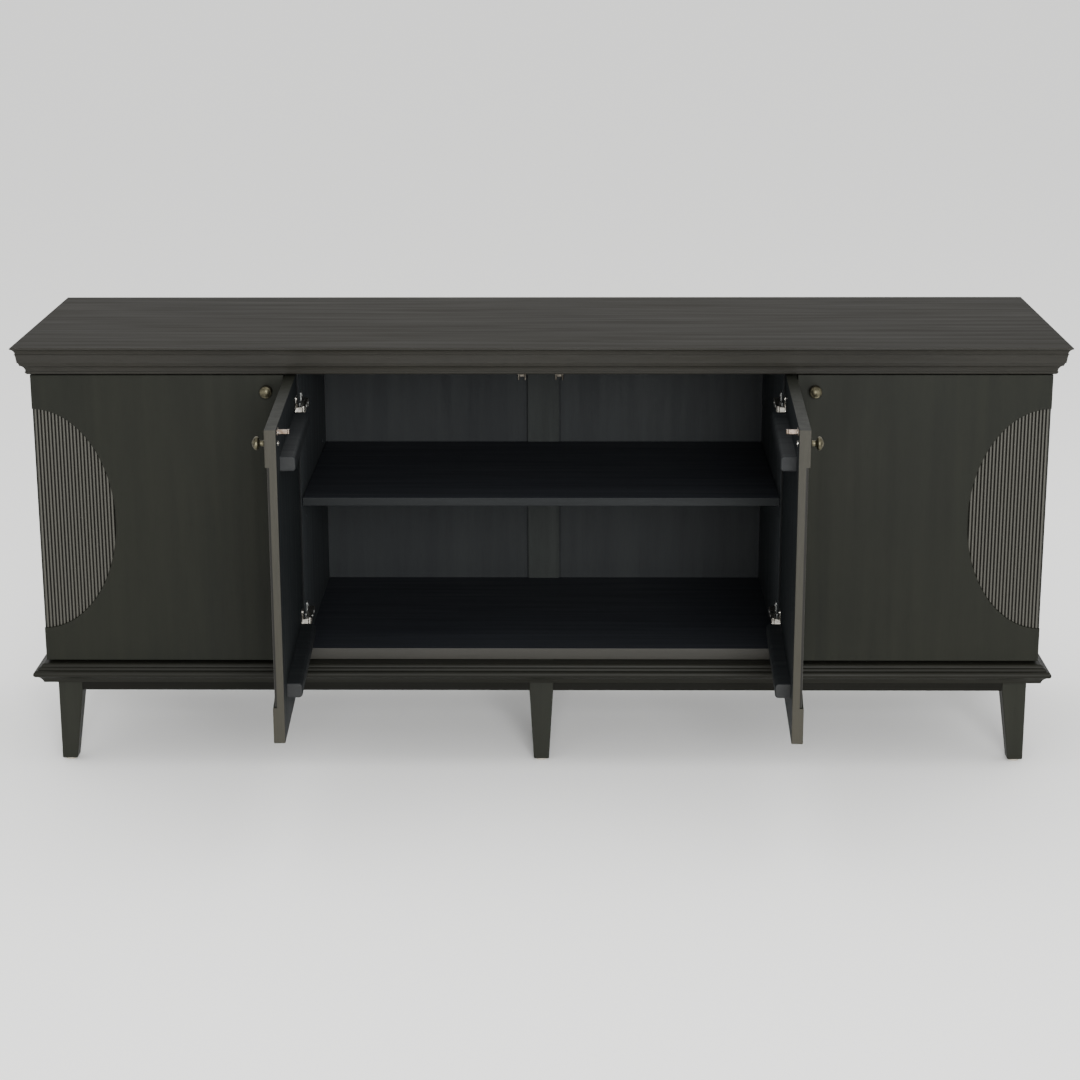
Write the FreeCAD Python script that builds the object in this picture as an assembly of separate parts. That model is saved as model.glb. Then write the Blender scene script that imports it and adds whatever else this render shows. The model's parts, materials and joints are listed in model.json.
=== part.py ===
"""Four-door sideboard: a moulded top and base on a three-bay case, on six tapered legs.

Millimetres. X runs along the width, Y towards the back, Z up, floor at Z = 0.
The origin is on the floor, under the centre of the box that holds the sideboard
with its two inner doors standing open, which is how it is stored.
"""
import FreeCAD, Part
import math
import os

V = FreeCAD.Vector
UP = V(0, 0, 1)

# ---- overall sizes
TOP_WIDTH = 1829.0
TOP_DEPTH = 511.0
HEIGHT = 770.0
OVERHANG = 27.0             # top beyond the doors and the case sides

# ---- case boards
SIDE_THICK = 18.0
PARTITION_THICK = 42.0
BOTTOM_THICK = 21.0
SHELF_THICK = 15.0
BACK_THICK = 6.0
BACK_REBATE = 5.0           # back panels in from the rear edges
STILE_WIDTH = 61.0
STILE_THICK = 6.0
RAIL_THICK = 27.0
RAIL_DEPTH = 60.0
SHELF_SHARE = 277 / 529     # shelf top, as a share of the clear height inside
SHELF_SETBACK = 9.0         # shelf edge behind the case front
SHELF_SIDE_GAP = 1.0
SHELF_BACK_GAP = 2.0

# ---- doors
DOOR_THICK = 19.0
DOOR_GAP = 3.0
DOOR_BUMPER_GAP = 2.0       # closed door to the case front
DOOR_TOP_GAP = 2.0          # door to the crown moulding
DOOR_BASE_GAP = 5.0         # door to the base moulding
DOOR_EDGE_ROUND = 2.5
REST_OPENING = 88.0         # inner doors, degrees

# ---- reeded inlay, a half ellipse on one long edge of each door
INLAY_REACH = 137.0
INLAY_SHARE = 400 / 520.5   # the half ellipse's height, as a share of the door's
INLAY_POCKET = 7.0
INLAY_SUNK = 3.0            # reed crests below the door face
INLAY_EDGE_SETBACK = 2.75
INLAY_FIT = 0.2
REED_PITCH = 6.0
REED_RISE = 2.2

# ---- top board edge and crown moulding
BOARD_THICK = 28.0
EDGE_LAP = 5.0              # the worked edge's reach behind the door line
CROWN_HEIGHT = 22.5
CROWN_HEAD_INSET = 11.0     # crown's widest place behind the top's lip

# ---- base, legs and glides
BASE_TOP = 192.0
MOULD_BOTTOM = 157.0
NOSE_OUT = 21.3
NOSE_RADIUS = 6.0
NOSE_DROP = 16.5            # nose centre below the base's top
APRON_BOTTOM = 135.0
APRON_THICK = 20.0
LEG_FACE_INSET = 15.5       # leg face behind the door line
LEG_PROUD = 1.5             # leg face in front of the apron
LEG_REAR_INSET = 4.0
LEG_HEAD = 43.0
LEG_FOOT = 27.5
LEG_FOOT_CHAMFER = 1.5
GLIDE_HEIGHT = 4.0
GLIDE_RADIUS = 10.0

# ---- battens on the door backs
BATTEN_SIZE = 25.0
BATTEN_ROUND = 6.0
BATTEN_FROM_END = 69.0      # batten centre to the door's top or bottom edge
BATTEN_FREE_END = 60.0
BATTEN_HINGE_END = 52.0

# ---- knob
KNOB_FROM_EDGE = 30.0
KNOB_FROM_TOP = 27.5
KNOB_RADIUS = 11.0
KNOB_PROJECTION = 22.0
KNOB_FOOT = 10.0
KNOB_FOOT_THICK = 2.4
KNOB_BORE = 2.25            # through the door and into the knob
KNOB_SCREW_RADIUS = 2.0
KNOB_SCREW_GRIP = 8.0       # screw's reach into the knob
KNOB_BORE_SPARE = 1.0       # bore beyond the screw's tip
KNOB_SCREW_HEAD = 4.5
KNOB_SCREW_RISE = 2.2

# ---- concealed hinges
AXIS_FROM_EDGE = 6.5        # swing axis from the door's hinge edge
AXIS_FROM_FACE = 7.5        # swing axis behind the door's face
CUP_RADIUS = 17.5
CUP_WALL = 0.8
CUP_FROM_EDGE = 3.0
CUP_FIT = 0.1
CUP_RIM = 1.0
CUP_FROM_TOP = 64.0
CUP_FROM_BOTTOM = 70.0
FLANGE_THICK = 1.2
FLANGE_HALF_LENGTH = 30.0
FLANGE_HALF_WIDTH = 8.5
FLANGE_OFFSET = 6.0         # flange screws beyond the cup's centre
FLANGE_SCREW_HALF = 24.0
WOOD_SCREW_RADIUS = 1.6
WOOD_SCREW_LENGTH = 11.0
WOOD_SCREW_FIT = 0.1
WOOD_SCREW_HEAD = 2.8
WOOD_SCREW_RISE = 1.3
ARM_PIN_FROM_EDGE = 28.0
PIN_BEHIND_AXIS = 5.0       # arm's pin behind the swing axis, door closed
ARM_HALF_HEIGHT = 7.0
ARM_WIDTH = 9.0
ARM_REAR = 62.0
ARM_SHOULDER = 8.0          # the arm's front end at its plate
ARM_BEND_OUTER = 6.0        # where its sides turn towards the pin
ARM_BEND_INNER = 14.0
ARM_TIP_HALF = 3.6
ARM_WEB_GAP = 1.5           # the web behind the link's eye
CHEEK_THICK = 2.0
PIN_RADIUS = 1.2
PIN_RUNNING_GAP = 0.05
LINK_LENGTH = 16.5
LINK_THICK = 2.5
LINK_SIDE_GAP = 0.3
LINK_EYE_RADIUS = 3.0
LINK_END_RADIUS = 2.2
LINK_CLOSED_ANGLE = 174.0
LINK_RATIO = 0.41           # link turn for each degree of door turn, the other way
PLATE_THICK = 2.5
PLATE_SETBACK = 37.0
PLATE_HALF_LENGTH = 27.0
PLATE_HALF_BAR = 8.0
PLATE_HALF_HEIGHT = 24.0
PLATE_WING = 6.0
PLATE_CORNER = 3.0
PLATE_SCREW_HALF = 16.0
PLATE_SCREW_HEAD = 3.4
PLATE_SCREW_RISE = 1.2

# ---- catches
CATCH_FROM_EDGE = 31.0
CATCH_SETBACK = 2.0         # plate behind the rail's front
JAW_SETBACK = 4.0
CATCH_HALF_WIDTH = 7.5
CATCH_GAP_HALF = 4.0
CATCH_DROP = 11.5
CATCH_BASE = 1.5
CATCH_LENGTH = 34.0
JAW_LENGTH = 17.0
BRIDGE_GAP = 1.5            # bridge behind the jaws
BRIDGE_RAISE = 2.0          # bridge above the jaws' lower ends
STRIKE_THICK = 1.2
TONGUE_HALF = 1.6
TONGUE_LENGTH = 17.0
TONGUE_BULB = 2.4
TONGUE_HALF_HEIGHT = 3.4
STRIKE_HALF_WIDTH = 10.0
STRIKE_HALF_HEIGHT = 5.0
STRIKE_SCREW_HALF = 6.8

# ---- shelf pins and their holes
PIN_HOLE_PITCH = 32.0
PIN_HOLE_ROWS = 3
PIN_HOLE_DEPTH = 8.0
SHELF_PIN_RADIUS = 2.5
SHELF_PIN_FIT = 0.1
SHELF_PIN_OUT = 8.0
PIN_FROM_FRONT = 60.0
PIN_FROM_BACK = 60.0

# ---- places that follow from the sizes above
CASE_HALF = TOP_WIDTH / 2 - OVERHANG
DOOR_WIDTH = (2 * CASE_HALF - 3 * DOOR_GAP) / 4
CROWN_DROP = BOARD_THICK + CROWN_HEIGHT
DOOR_TOP = HEIGHT - CROWN_DROP - DOOR_TOP_GAP
DOOR_BOTTOM = BASE_TOP + DOOR_BASE_GAP
DOOR_MIDDLE = (DOOR_TOP + DOOR_BOTTOM) / 2
INLAY_HALF_HEIGHT = INLAY_SHARE * (DOOR_TOP - DOOR_BOTTOM) / 2
BOARD_UNDER = HEIGHT - BOARD_THICK
BOTTOM_TOP = BASE_TOP + BOTTOM_THICK
RAIL_BOTTOM = BOARD_UNDER - RAIL_THICK
SHELF_TOP = BOTTOM_TOP + SHELF_SHARE * (BOARD_UNDER - BOTTOM_TOP)
SHELF_UNDER = SHELF_TOP - SHELF_THICK
CASE_TO_FACE = DOOR_THICK + DOOR_BUMPER_GAP
CASE_DEPTH = TOP_DEPTH - OVERHANG - CASE_TO_FACE
AXIS_Y = -CASE_TO_FACE + AXIS_FROM_FACE
CUP_DEPTH = DOOR_THICK - AXIS_FROM_FACE     # the cup's floor lies level with the axis
ARM_PIN_BEHIND = AXIS_Y + PIN_BEHIND_AXIS   # from the case front, negative is in front
OPENING = math.radians(REST_OPENING)
OPEN_REACH = (DOOR_WIDTH - AXIS_FROM_EDGE) * math.sin(OPENING) + AXIS_FROM_FACE * math.cos(OPENING)
CASE_FRONT = (OPEN_REACH - AXIS_Y - CASE_DEPTH) / 2
CASE_BACK = CASE_FRONT + CASE_DEPTH
FACE_Y = CASE_FRONT - CASE_TO_FACE
PANEL_FRONT = CASE_BACK - BACK_REBATE - BACK_THICK
PARTITION_X = DOOR_WIDTH + DOOR_GAP
HINGE_HEIGHTS = (DOOR_TOP - CUP_FROM_TOP, DOOR_BOTTOM + CUP_FROM_BOTTOM)
INSIDE_FACE = -DOOR_BUMPER_GAP
FRONT_FACE = -CASE_TO_FACE
LINK_HALF_HEIGHT = ARM_HALF_HEIGHT - CHEEK_THICK - LINK_SIDE_GAP
MIRROR_LEFT_TO_RIGHT = V(1, 0, 0)


def box(low, high):
    return Part.makeBox(high[0] - low[0], high[1] - low[1], high[2] - low[2], V(*low))


def prism(points, z_low, z_high):
    """A flat outline in X and Y, raised from z_low to z_high."""
    loop = [V(x, y, z_low) for x, y in points]
    return Part.Face(Part.makePolygon(loop + loop[:1])).extrude(V(0, 0, z_high - z_low))


def rod(radius, length, start, direction):
    return Part.makeCylinder(radius, length, V(*start), direction)


def mirrored(shape):
    return shape.mirror(V(0, 0, 0), MIRROR_LEFT_TO_RIGHT)


def moved(shape, x, y=0.0, z=0.0):
    copy = shape.copy()
    copy.translate(V(x, y, z))
    return copy


def turned(shape, x, y, degrees):
    """A copy turned about the upright line through x, y."""
    copy = shape.copy()
    copy.rotate(V(x, y, 0), UP, degrees)
    return copy


def path(start, steps):
    """A wire through points; a step that is a pair of points is an arc through the first."""
    edges = []
    here = start
    for step in steps:
        if isinstance(step[0], tuple):
            middle, there = step
            edges.append(Part.Arc(V(*here), V(*middle), V(*there)).toShape())
        else:
            there = step
            edges.append(Part.makeLine(V(*here), V(*there)))
        here = there
    return Part.Wire(edges)


def outline(start, steps):
    """The face inside a closed path; the last step comes back to the start."""
    return Part.Face(path(start, steps))


# ---------------------------------------------------------------- mouldings
def lifted(point, place):
    """A profile point (out from the door line, height) put in space by place."""
    if isinstance(point[0], tuple):
        return tuple(lifted(corner, place) for corner in point)
    return place(point[0], point[1])


def moulding_run(profile, outermost, side):
    """One mitred run of a moulding: side 0 is the front, -1 the left and 1 the right.

    The profile is measured outwards from the door line in front, and from the
    case sides at the ends.
    """
    outer_x = CASE_HALF + outermost
    outer_y = FACE_Y - outermost
    heights = [step[-1][-1] if isinstance(step[0], tuple) else step[1] for step in profile]
    inner = min(step[-1][0] if isinstance(step[0], tuple) else step[0] for step in profile)
    if side == 0:
        points = [lifted(step, lambda out, z: (-outer_x, FACE_Y - out, z)) for step in profile]
        body = outline(points[0], points[1:] + points[:1]).extrude(V(2 * outer_x, 0, 0))
        back_y = FACE_Y - inner
        mitre = CASE_HALF + inner
        plan = [(-outer_x, outer_y), (outer_x, outer_y), (mitre, back_y), (-mitre, back_y)]
    else:
        points = [lifted(step, lambda out, z: (CASE_HALF + out, outer_y, z)) for step in profile]
        run = CASE_BACK - outer_y
        body = outline(points[0], points[1:] + points[:1]).extrude(V(0, run, 0))
        mitre = CASE_HALF + inner
        plan = [(outer_x, outer_y), (outer_x, CASE_BACK), (mitre, CASE_BACK), (mitre, FACE_Y - inner)]
    body = body.common(prism(plan, min(heights) - 1, max(heights) + 1))
    return mirrored(body) if side < 0 else body


def board_edge_profile():
    """The worked edge of the top: a lip, a cove, a fine bead and a leaning fascia."""
    top = HEIGHT
    return [
        (-EDGE_LAP, top),
        (OVERHANG - 0.8, top),
        ((OVERHANG - 0.25, top - 0.25), (OVERHANG, top - 0.8)),
        (OVERHANG, top - 2.5),
        ((OVERHANG - 5.2, top - 6.0), (OVERHANG - 7.5, top - 12.0)),
        (OVERHANG - 6.7, top - 12.0),
        ((OVERHANG - 6.2, top - 12.8), (OVERHANG - 6.7, top - 13.6)),
        (OVERHANG - 7.5, top - 13.6),
        (OVERHANG - 9.6, BOARD_UNDER),
        (-EDGE_LAP, BOARD_UNDER),
    ]


def crown_profile(inner):
    """Under the top: a sloping fillet, a cove and a small quarter round."""
    head = BOARD_UNDER
    foot = HEIGHT - CROWN_DROP
    return [
        (inner, head),
        (OVERHANG - CROWN_HEAD_INSET, head),
        (OVERHANG - 13.3, head - 5.8),
        (OVERHANG - 14.5, head - 5.8),
        ((OVERHANG - 19.3, head - 10.2), (OVERHANG - 21.5, foot + 5.5)),
        (OVERHANG - 20.3, foot + 5.5),
        ((OVERHANG - 21.6, foot + 1.9), (OVERHANG - 25.0, foot)),
        (inner, foot),
    ]


def base_profile(inner):
    """Two fine beads, a half-round nose and a cove back to the legs."""
    nose = NOSE_OUT - NOSE_RADIUS
    nose_z = BASE_TOP - NOSE_DROP
    cove_z = MOULD_BOTTOM + 0.592 * (nose_z - NOSE_RADIUS - MOULD_BOTTOM)
    return [
        (inner, BASE_TOP),
        (3.6, BASE_TOP),
        ((7.0, BASE_TOP - 1.8), (8.4, BASE_TOP - 5.4)),
        (9.4, BASE_TOP - 5.4),
        ((12.2, BASE_TOP - 6.6), (13.3, BASE_TOP - 9.4)),
        (13.3, nose_z + NOSE_RADIUS),
        (nose, nose_z + NOSE_RADIUS),
        ((NOSE_OUT, nose_z), (nose, nose_z - NOSE_RADIUS)),
        ((9.2, cove_z), (5.6, MOULD_BOTTOM)),
        (inner, MOULD_BOTTOM),
    ]


def top_board():
    """A solid board with its worked edge run round the front and both ends."""
    core = box((-CASE_HALF, FACE_Y, BOARD_UNDER), (CASE_HALF, CASE_BACK, HEIGHT))
    runs = [moulding_run(board_edge_profile(), OVERHANG, side) for side in (0, -1, 1)]
    return core.multiFuse(runs).removeSplitter()


def crown_run(side):
    """The crown; its front run reaches back over the doors to the case front."""
    run = moulding_run(crown_profile(0.0), OVERHANG - CROWN_HEAD_INSET, side)
    if side == 0:
        filler = box((-CASE_HALF, FACE_Y, HEIGHT - CROWN_DROP), (CASE_HALF, CASE_FRONT, BOARD_UNDER))
        run = run.fuse(filler).removeSplitter()
    return run


def base_run(side):
    inner = -LEG_FACE_INSET - LEG_PROUD
    return moulding_run(base_profile(inner), NOSE_OUT, side)


# ---------------------------------------------------------------- case boards
def pin_places():
    """Y of the two pin columns, and Z of the rows of pin holes."""
    columns = (CASE_FRONT + SHELF_SETBACK + PIN_FROM_FRONT, PANEL_FRONT - STILE_THICK - PIN_FROM_BACK)
    used = SHELF_UNDER - SHELF_PIN_RADIUS
    rows = [used + PIN_HOLE_PITCH * (row - PIN_HOLE_ROWS // 2) for row in range(PIN_HOLE_ROWS)]
    return columns, rows


def drilled(board, faces):
    """Shelf pin holes in a board; faces are (x of the face, direction into the board)."""
    columns, rows = pin_places()
    radius = SHELF_PIN_RADIUS + SHELF_PIN_FIT
    drills = [rod(radius, PIN_HOLE_DEPTH, (x, y, z), V(into, 0, 0))
              for x, into in faces for y in columns for z in rows]
    return board.cut(Part.makeCompound(drills))


def side_panel():
    """The right side; the left one is its mirror image."""
    inside = CASE_HALF - SIDE_THICK
    board = box((inside, CASE_FRONT, BASE_TOP), (CASE_HALF, CASE_BACK, BOARD_UNDER))
    return drilled(board, [(inside, 1)])


def partition():
    """The right partition, drilled on both faces."""
    low = PARTITION_X - PARTITION_THICK / 2
    high = PARTITION_X + PARTITION_THICK / 2
    board = box((low, CASE_FRONT, BOTTOM_TOP), (high, PANEL_FRONT, BOARD_UNDER))
    return drilled(board, [(low, 1), (high, -1)])


def bays():
    """The clear X spans of the left, centre and right bays."""
    side = CASE_HALF - SIDE_THICK
    near = PARTITION_X - PARTITION_THICK / 2
    far = PARTITION_X + PARTITION_THICK / 2
    return {"left": (-side, -far), "centre": (-near, near), "right": (far, side)}


def shelf(span):
    back = PANEL_FRONT - STILE_THICK - SHELF_BACK_GAP
    low = (span[0] + SHELF_SIDE_GAP, CASE_FRONT + SHELF_SETBACK, SHELF_UNDER)
    high = (span[1] - SHELF_SIDE_GAP, back, SHELF_TOP)
    return box(low, high)


def shelf_pins():
    columns, rows = pin_places()
    z = rows[PIN_HOLE_ROWS // 2]
    pins = []
    for low, high in bays().values():
        for y in columns:
            length = PIN_HOLE_DEPTH + SHELF_PIN_OUT
            pins.append(rod(SHELF_PIN_RADIUS, length, (low - PIN_HOLE_DEPTH, y, z), V(1, 0, 0)))
            pins.append(rod(SHELF_PIN_RADIUS, length, (high + PIN_HOLE_DEPTH, y, z), V(-1, 0, 0)))
    return pins


def bottom_panel():
    inside = CASE_HALF - SIDE_THICK
    return box((-inside, CASE_FRONT, BASE_TOP), (inside, PANEL_FRONT, BOTTOM_TOP))


def back_panels():
    """Four sheets; they meet behind the partitions and behind the centre stile."""
    inside = CASE_HALF - SIDE_THICK
    edges = [-inside, -PARTITION_X, 0.0, PARTITION_X, inside]
    back = PANEL_FRONT + BACK_THICK
    return [box((low, PANEL_FRONT, BASE_TOP), (high, back, BOARD_UNDER))
            for low, high in zip(edges, edges[1:])]


def back_stile():
    half = STILE_WIDTH / 2
    front = PANEL_FRONT - STILE_THICK
    return box((-half, front, BOTTOM_TOP), (half, PANEL_FRONT, BOARD_UNDER))


def front_rails():
    return [box((low, CASE_FRONT, RAIL_BOTTOM), (high, CASE_FRONT + RAIL_DEPTH, BOARD_UNDER))
            for low, high in bays().values()]


# ---------------------------------------------------------------- base and legs
def leg_corner(centre):
    """A front leg. Its face is upright and its other faces taper to the foot."""
    inset = LEG_FACE_INSET
    face = FACE_Y + inset
    head_x = 0.0 if centre else -CASE_HALF + inset + LEG_HEAD / 2
    foot_x = 0.0 if centre else -CASE_HALF + inset + LEG_FOOT / 2
    chamfer = LEG_FOOT_CHAMFER

    def square(x, size, z, trim=0.0):
        low_x, high_x = x - size / 2 + trim, x + size / 2 - trim
        low_y, high_y = face + trim, face + size - trim
        corners = [(low_x, low_y), (high_x, low_y), (high_x, high_y), (low_x, high_y)]
        loop = [V(a, b, z) for a, b in corners]
        return Part.makePolygon(loop + loop[:1])

    taper = Part.makeLoft([square(foot_x, LEG_FOOT, GLIDE_HEIGHT + chamfer),
                           square(head_x, LEG_HEAD, APRON_BOTTOM)], True, True)
    sole = Part.makeLoft([square(foot_x, LEG_FOOT, GLIDE_HEIGHT, chamfer),
                          square(foot_x, LEG_FOOT, GLIDE_HEIGHT + chamfer)], True, True)
    half = LEG_HEAD / 2
    neck = box((head_x - half, face, APRON_BOTTOM), (head_x + half, face + LEG_HEAD, MOULD_BOTTOM))
    trim_side = 0.0 if centre else LEG_PROUD
    block = box((head_x - half + trim_side, face + LEG_PROUD, MOULD_BOTTOM),
                (head_x + half, face + LEG_HEAD, BASE_TOP))
    return sole.multiFuse([taper, neck, block]).removeSplitter()


def leg_to_rear(leg):
    """A rear leg is a front leg turned round, with its upright face near the back."""
    middle = (FACE_Y + LEG_FACE_INSET + CASE_BACK - LEG_REAR_INSET) / 2
    return leg.mirror(V(0, middle, 0), V(0, 1, 0))


def leg_places():
    """Centre of each foot's sole."""
    x = CASE_HALF - LEG_FACE_INSET - LEG_FOOT / 2
    front = FACE_Y + LEG_FACE_INSET + LEG_FOOT / 2
    rear = CASE_BACK - LEG_REAR_INSET - LEG_FOOT / 2
    return [(spot, y) for y in (front, rear) for spot in (-x, 0.0, x)]


def glide(x, y):
    """A nylon button with a rounded rim."""
    button = rod(GLIDE_RADIUS, GLIDE_HEIGHT, (x, y, 0), UP)
    rim = [edge for edge in button.Edges if abs(edge.CenterOfMass.z) < 0.1]
    return button.makeFillet(GLIDE_HEIGHT * 0.4, [edge for edge in rim if edge.Length > GLIDE_RADIUS])


def apron_rails():
    """Rails between the legs: two at the front, two at the rear and one at each end."""
    face_x = CASE_HALF - LEG_FACE_INSET - LEG_PROUD
    leg_inner = CASE_HALF - LEG_FACE_INSET - LEG_HEAD
    half = LEG_HEAD / 2
    front = FACE_Y + LEG_FACE_INSET + LEG_PROUD
    rear = CASE_BACK - LEG_REAR_INSET - LEG_PROUD
    leg_front = FACE_Y + LEG_FACE_INSET + LEG_HEAD
    leg_rear = CASE_BACK - LEG_REAR_INSET - LEG_HEAD
    rails = []
    for low_y, high_y in ((front, front + APRON_THICK), (rear - APRON_THICK, rear)):
        rails.append(box((-leg_inner, low_y, APRON_BOTTOM), (-half, high_y, BASE_TOP)))
        rails.append(box((half, low_y, APRON_BOTTOM), (leg_inner, high_y, BASE_TOP)))
    end = box((face_x - APRON_THICK, leg_front, APRON_BOTTOM), (face_x, leg_rear, BASE_TOP))
    return rails + [end, mirrored(end)]


# ---------------------------------------------------------------- doors
# A door is drawn closed and left-hinged, with X from its hinge edge and Y from
# the case front. It is then put in its place, swung open or mirrored.
def half_ellipse(edge_x, towards, grow, y_low, y_high):
    """Half an ellipse standing on the door's edge, as a plate from y_low to y_high."""
    head = V(edge_x, y_low, DOOR_MIDDLE + INLAY_HALF_HEIGHT + grow)
    side = V(edge_x + towards * (INLAY_REACH + grow), y_low, DOOR_MIDDLE)
    curve = Part.Ellipse(head, side, V(edge_x, y_low, DOOR_MIDDLE))
    arc = Part.ArcOfEllipse(curve, 0.0, math.pi).toShape()
    chord = Part.makeLine(arc.Vertexes[-1].Point, arc.Vertexes[0].Point)
    return Part.Face(Part.Wire([arc, chord])).extrude(V(0, y_high - y_low, 0))


def screw_places():
    """The small wood screws in a door's back: X, Z and the thickness they hold down."""
    plate_x = CUP_FROM_EDGE + CUP_RADIUS + FLANGE_OFFSET
    places = [(plate_x, z + way * FLANGE_SCREW_HALF, FLANGE_THICK)
              for z in HINGE_HEIGHTS for way in (-1, 1)]
    strike_x = DOOR_WIDTH - CATCH_FROM_EDGE
    places += [(strike_x + way * STRIKE_SCREW_HALF, catch_height(), STRIKE_THICK) for way in (-1, 1)]
    return places


def screw_holes():
    """Pilot holes for the wood screws, running through the plates and into the door."""
    radius = WOOD_SCREW_RADIUS + WOOD_SCREW_FIT
    return [rod(radius, WOOD_SCREW_LENGTH + held, (x, INSIDE_FACE + held, z), V(0, -1, 0))
            for x, z, held in screw_places()]


def door_panel(inlay_x, towards):
    panel = box((0, FRONT_FACE, DOOR_BOTTOM), (DOOR_WIDTH, INSIDE_FACE, DOOR_TOP))
    uprights = [edge for edge in panel.Edges
                if edge.BoundBox.ZLength > 1 and abs(edge.CenterOfMass.y - FRONT_FACE) < 0.1]
    panel = panel.makeFillet(DOOR_EDGE_ROUND, uprights)
    cutters = [half_ellipse(inlay_x, towards, 0.0, FRONT_FACE - 1, FRONT_FACE + INLAY_POCKET)]
    for z in HINGE_HEIGHTS:
        start = (CUP_FROM_EDGE + CUP_RADIUS, INSIDE_FACE, z)
        cutters.append(rod(CUP_RADIUS + CUP_FIT, CUP_DEPTH + CUP_FIT, start, V(0, -1, 0)))
    knob_start = (DOOR_WIDTH - KNOB_FROM_EDGE, INSIDE_FACE, DOOR_TOP - KNOB_FROM_TOP)
    cutters.append(rod(KNOB_BORE, DOOR_THICK, knob_start, V(0, -1, 0)))
    for cutter in cutters + screw_holes():
        panel = panel.cut(cutter)
    return panel


def reeded_inlay(inlay_x, towards):
    """A thin board of upright reeds, cut to the half ellipse and set in the door's pocket."""
    back = FRONT_FACE + INLAY_POCKET
    valley = FRONT_FACE + INLAY_SUNK + REED_RISE
    start = inlay_x + towards * INLAY_EDGE_SETBACK
    count = int(INLAY_REACH / REED_PITCH)
    z = DOOR_MIDDLE - INLAY_HALF_HEIGHT
    steps = [(start, valley, z)]
    for reed in range(count):
        near = start + towards * reed * REED_PITCH
        crest = (near + towards * REED_PITCH / 2, valley - REED_RISE, z)
        steps.append((crest, (near + towards * REED_PITCH, valley, z)))
    steps.append((start + towards * count * REED_PITCH, back, z))
    steps.append((start, back, z))
    board = outline((start, back, z), steps).extrude(V(0, 0, 2 * INLAY_HALF_HEIGHT))
    return board.common(half_ellipse(inlay_x, towards, -INLAY_FIT, FRONT_FACE, back))


def knob():
    """Turned brass: a foot, a waist and a flattened ball, bored for its screw."""
    depth = KNOB_SCREW_GRIP + KNOB_BORE_SPARE
    tip = KNOB_PROJECTION
    wide = KNOB_RADIUS
    rim = wide - 1.6
    rise = 4.2
    dome = (rim ** 2 + rise ** 2) / (2 * rise)
    shoulder = tip - dome + math.sqrt(dome ** 2 - rim ** 2 / 4)
    half_section = path((0, 0, depth), [
        (KNOB_BORE, 0, depth),
        (KNOB_BORE, 0, 0),
        (KNOB_FOOT, 0, 0),
        (KNOB_FOOT, 0, KNOB_FOOT_THICK),
        (6.0, 0, KNOB_FOOT_THICK),
        ((5.0, 0, 4.6), (4.6, 0, 7.6)),
        ((6.2, 0, 10.0), (wide - 1.4, 0, 11.2)),
        ((wide, 0, 14.2), (rim, 0, tip - rise)),
        ((rim / 2, 0, shoulder), (0, 0, tip)),
    ])
    skin = half_section.revolve(V(0, 0, 0), UP, 360)
    brass = Part.Solid(Part.Shell(skin.Faces))
    brass.rotate(V(0, 0, 0), V(1, 0, 0), 90)
    return moved(brass, DOOR_WIDTH - KNOB_FROM_EDGE, FRONT_FACE, DOOR_TOP - KNOB_FROM_TOP)


def battens():
    """Two bars across the door's back, rounded where hands and clothes meet them."""
    bars = []
    for z in (DOOR_TOP - BATTEN_FROM_END, DOOR_BOTTOM + BATTEN_FROM_END):
        half = BATTEN_SIZE / 2
        bar = box((BATTEN_HINGE_END, INSIDE_FACE, z - half),
                  (DOOR_WIDTH - BATTEN_FREE_END, INSIDE_FACE + BATTEN_SIZE, z + half))
        outer = [edge for edge in bar.Edges
                 if abs(edge.CenterOfMass.y - INSIDE_FACE - BATTEN_SIZE) < 0.1]
        bars.append(bar.makeFillet(BATTEN_ROUND, outer))
    return bars


def hinge_cup(z):
    """A pressed cup with its flange plate on the door's back."""
    x = CUP_FROM_EDGE + CUP_RADIUS
    y = INSIDE_FACE
    out = V(0, -1, 0)
    cup = rod(CUP_RADIUS, CUP_DEPTH, (x, y, z), out)
    plate_x = x + FLANGE_OFFSET
    plate = box((plate_x - FLANGE_HALF_WIDTH, y, z - FLANGE_HALF_LENGTH),
                (plate_x + FLANGE_HALF_WIDTH, y + FLANGE_THICK, z + FLANGE_HALF_LENGTH))
    corners = [edge for edge in plate.Edges if edge.BoundBox.YLength > 1]
    plate = plate.makeFillet(FLANGE_HALF_WIDTH * 0.6, corners)
    ring = rod(CUP_RADIUS + CUP_RIM, FLANGE_THICK, (x, y, z), V(0, 1, 0))
    hollow = rod(CUP_RADIUS - CUP_WALL, CUP_DEPTH - CUP_WALL + FLANGE_THICK,
                 (x, y + FLANGE_THICK, z), out)
    return cup.multiFuse([plate, ring]).cut(Part.makeCompound([hollow] + screw_holes())).removeSplitter()


def screw(x, y, z, head_radius, head, shank_radius, shank):
    """A pan-head screw driven towards the door's face from its back."""
    top = rod(head_radius, head, (x, y, z), V(0, 1, 0))
    crown = [edge for edge in top.Edges if abs(edge.CenterOfMass.y - y - head) < 0.1]
    top = top.makeFillet(head * 0.6, [edge for edge in crown if edge.Length > head_radius])
    return top.fuse(rod(shank_radius, shank, (x, y, z), V(0, -1, 0))).removeSplitter()


def door_screws():
    """The knob's screw, four cup screws and two strike screws."""
    knob_x = DOOR_WIDTH - KNOB_FROM_EDGE
    knob_z = DOOR_TOP - KNOB_FROM_TOP
    reach = DOOR_THICK + KNOB_SCREW_GRIP
    made = [screw(knob_x, INSIDE_FACE, knob_z, KNOB_SCREW_HEAD, KNOB_SCREW_RISE,
                  KNOB_SCREW_RADIUS, reach)]
    for x, z, held in screw_places():
        y = INSIDE_FACE + held
        made.append(screw(x, y, z, WOOD_SCREW_HEAD, WOOD_SCREW_RISE, WOOD_SCREW_RADIUS, WOOD_SCREW_LENGTH))
    return made


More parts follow.
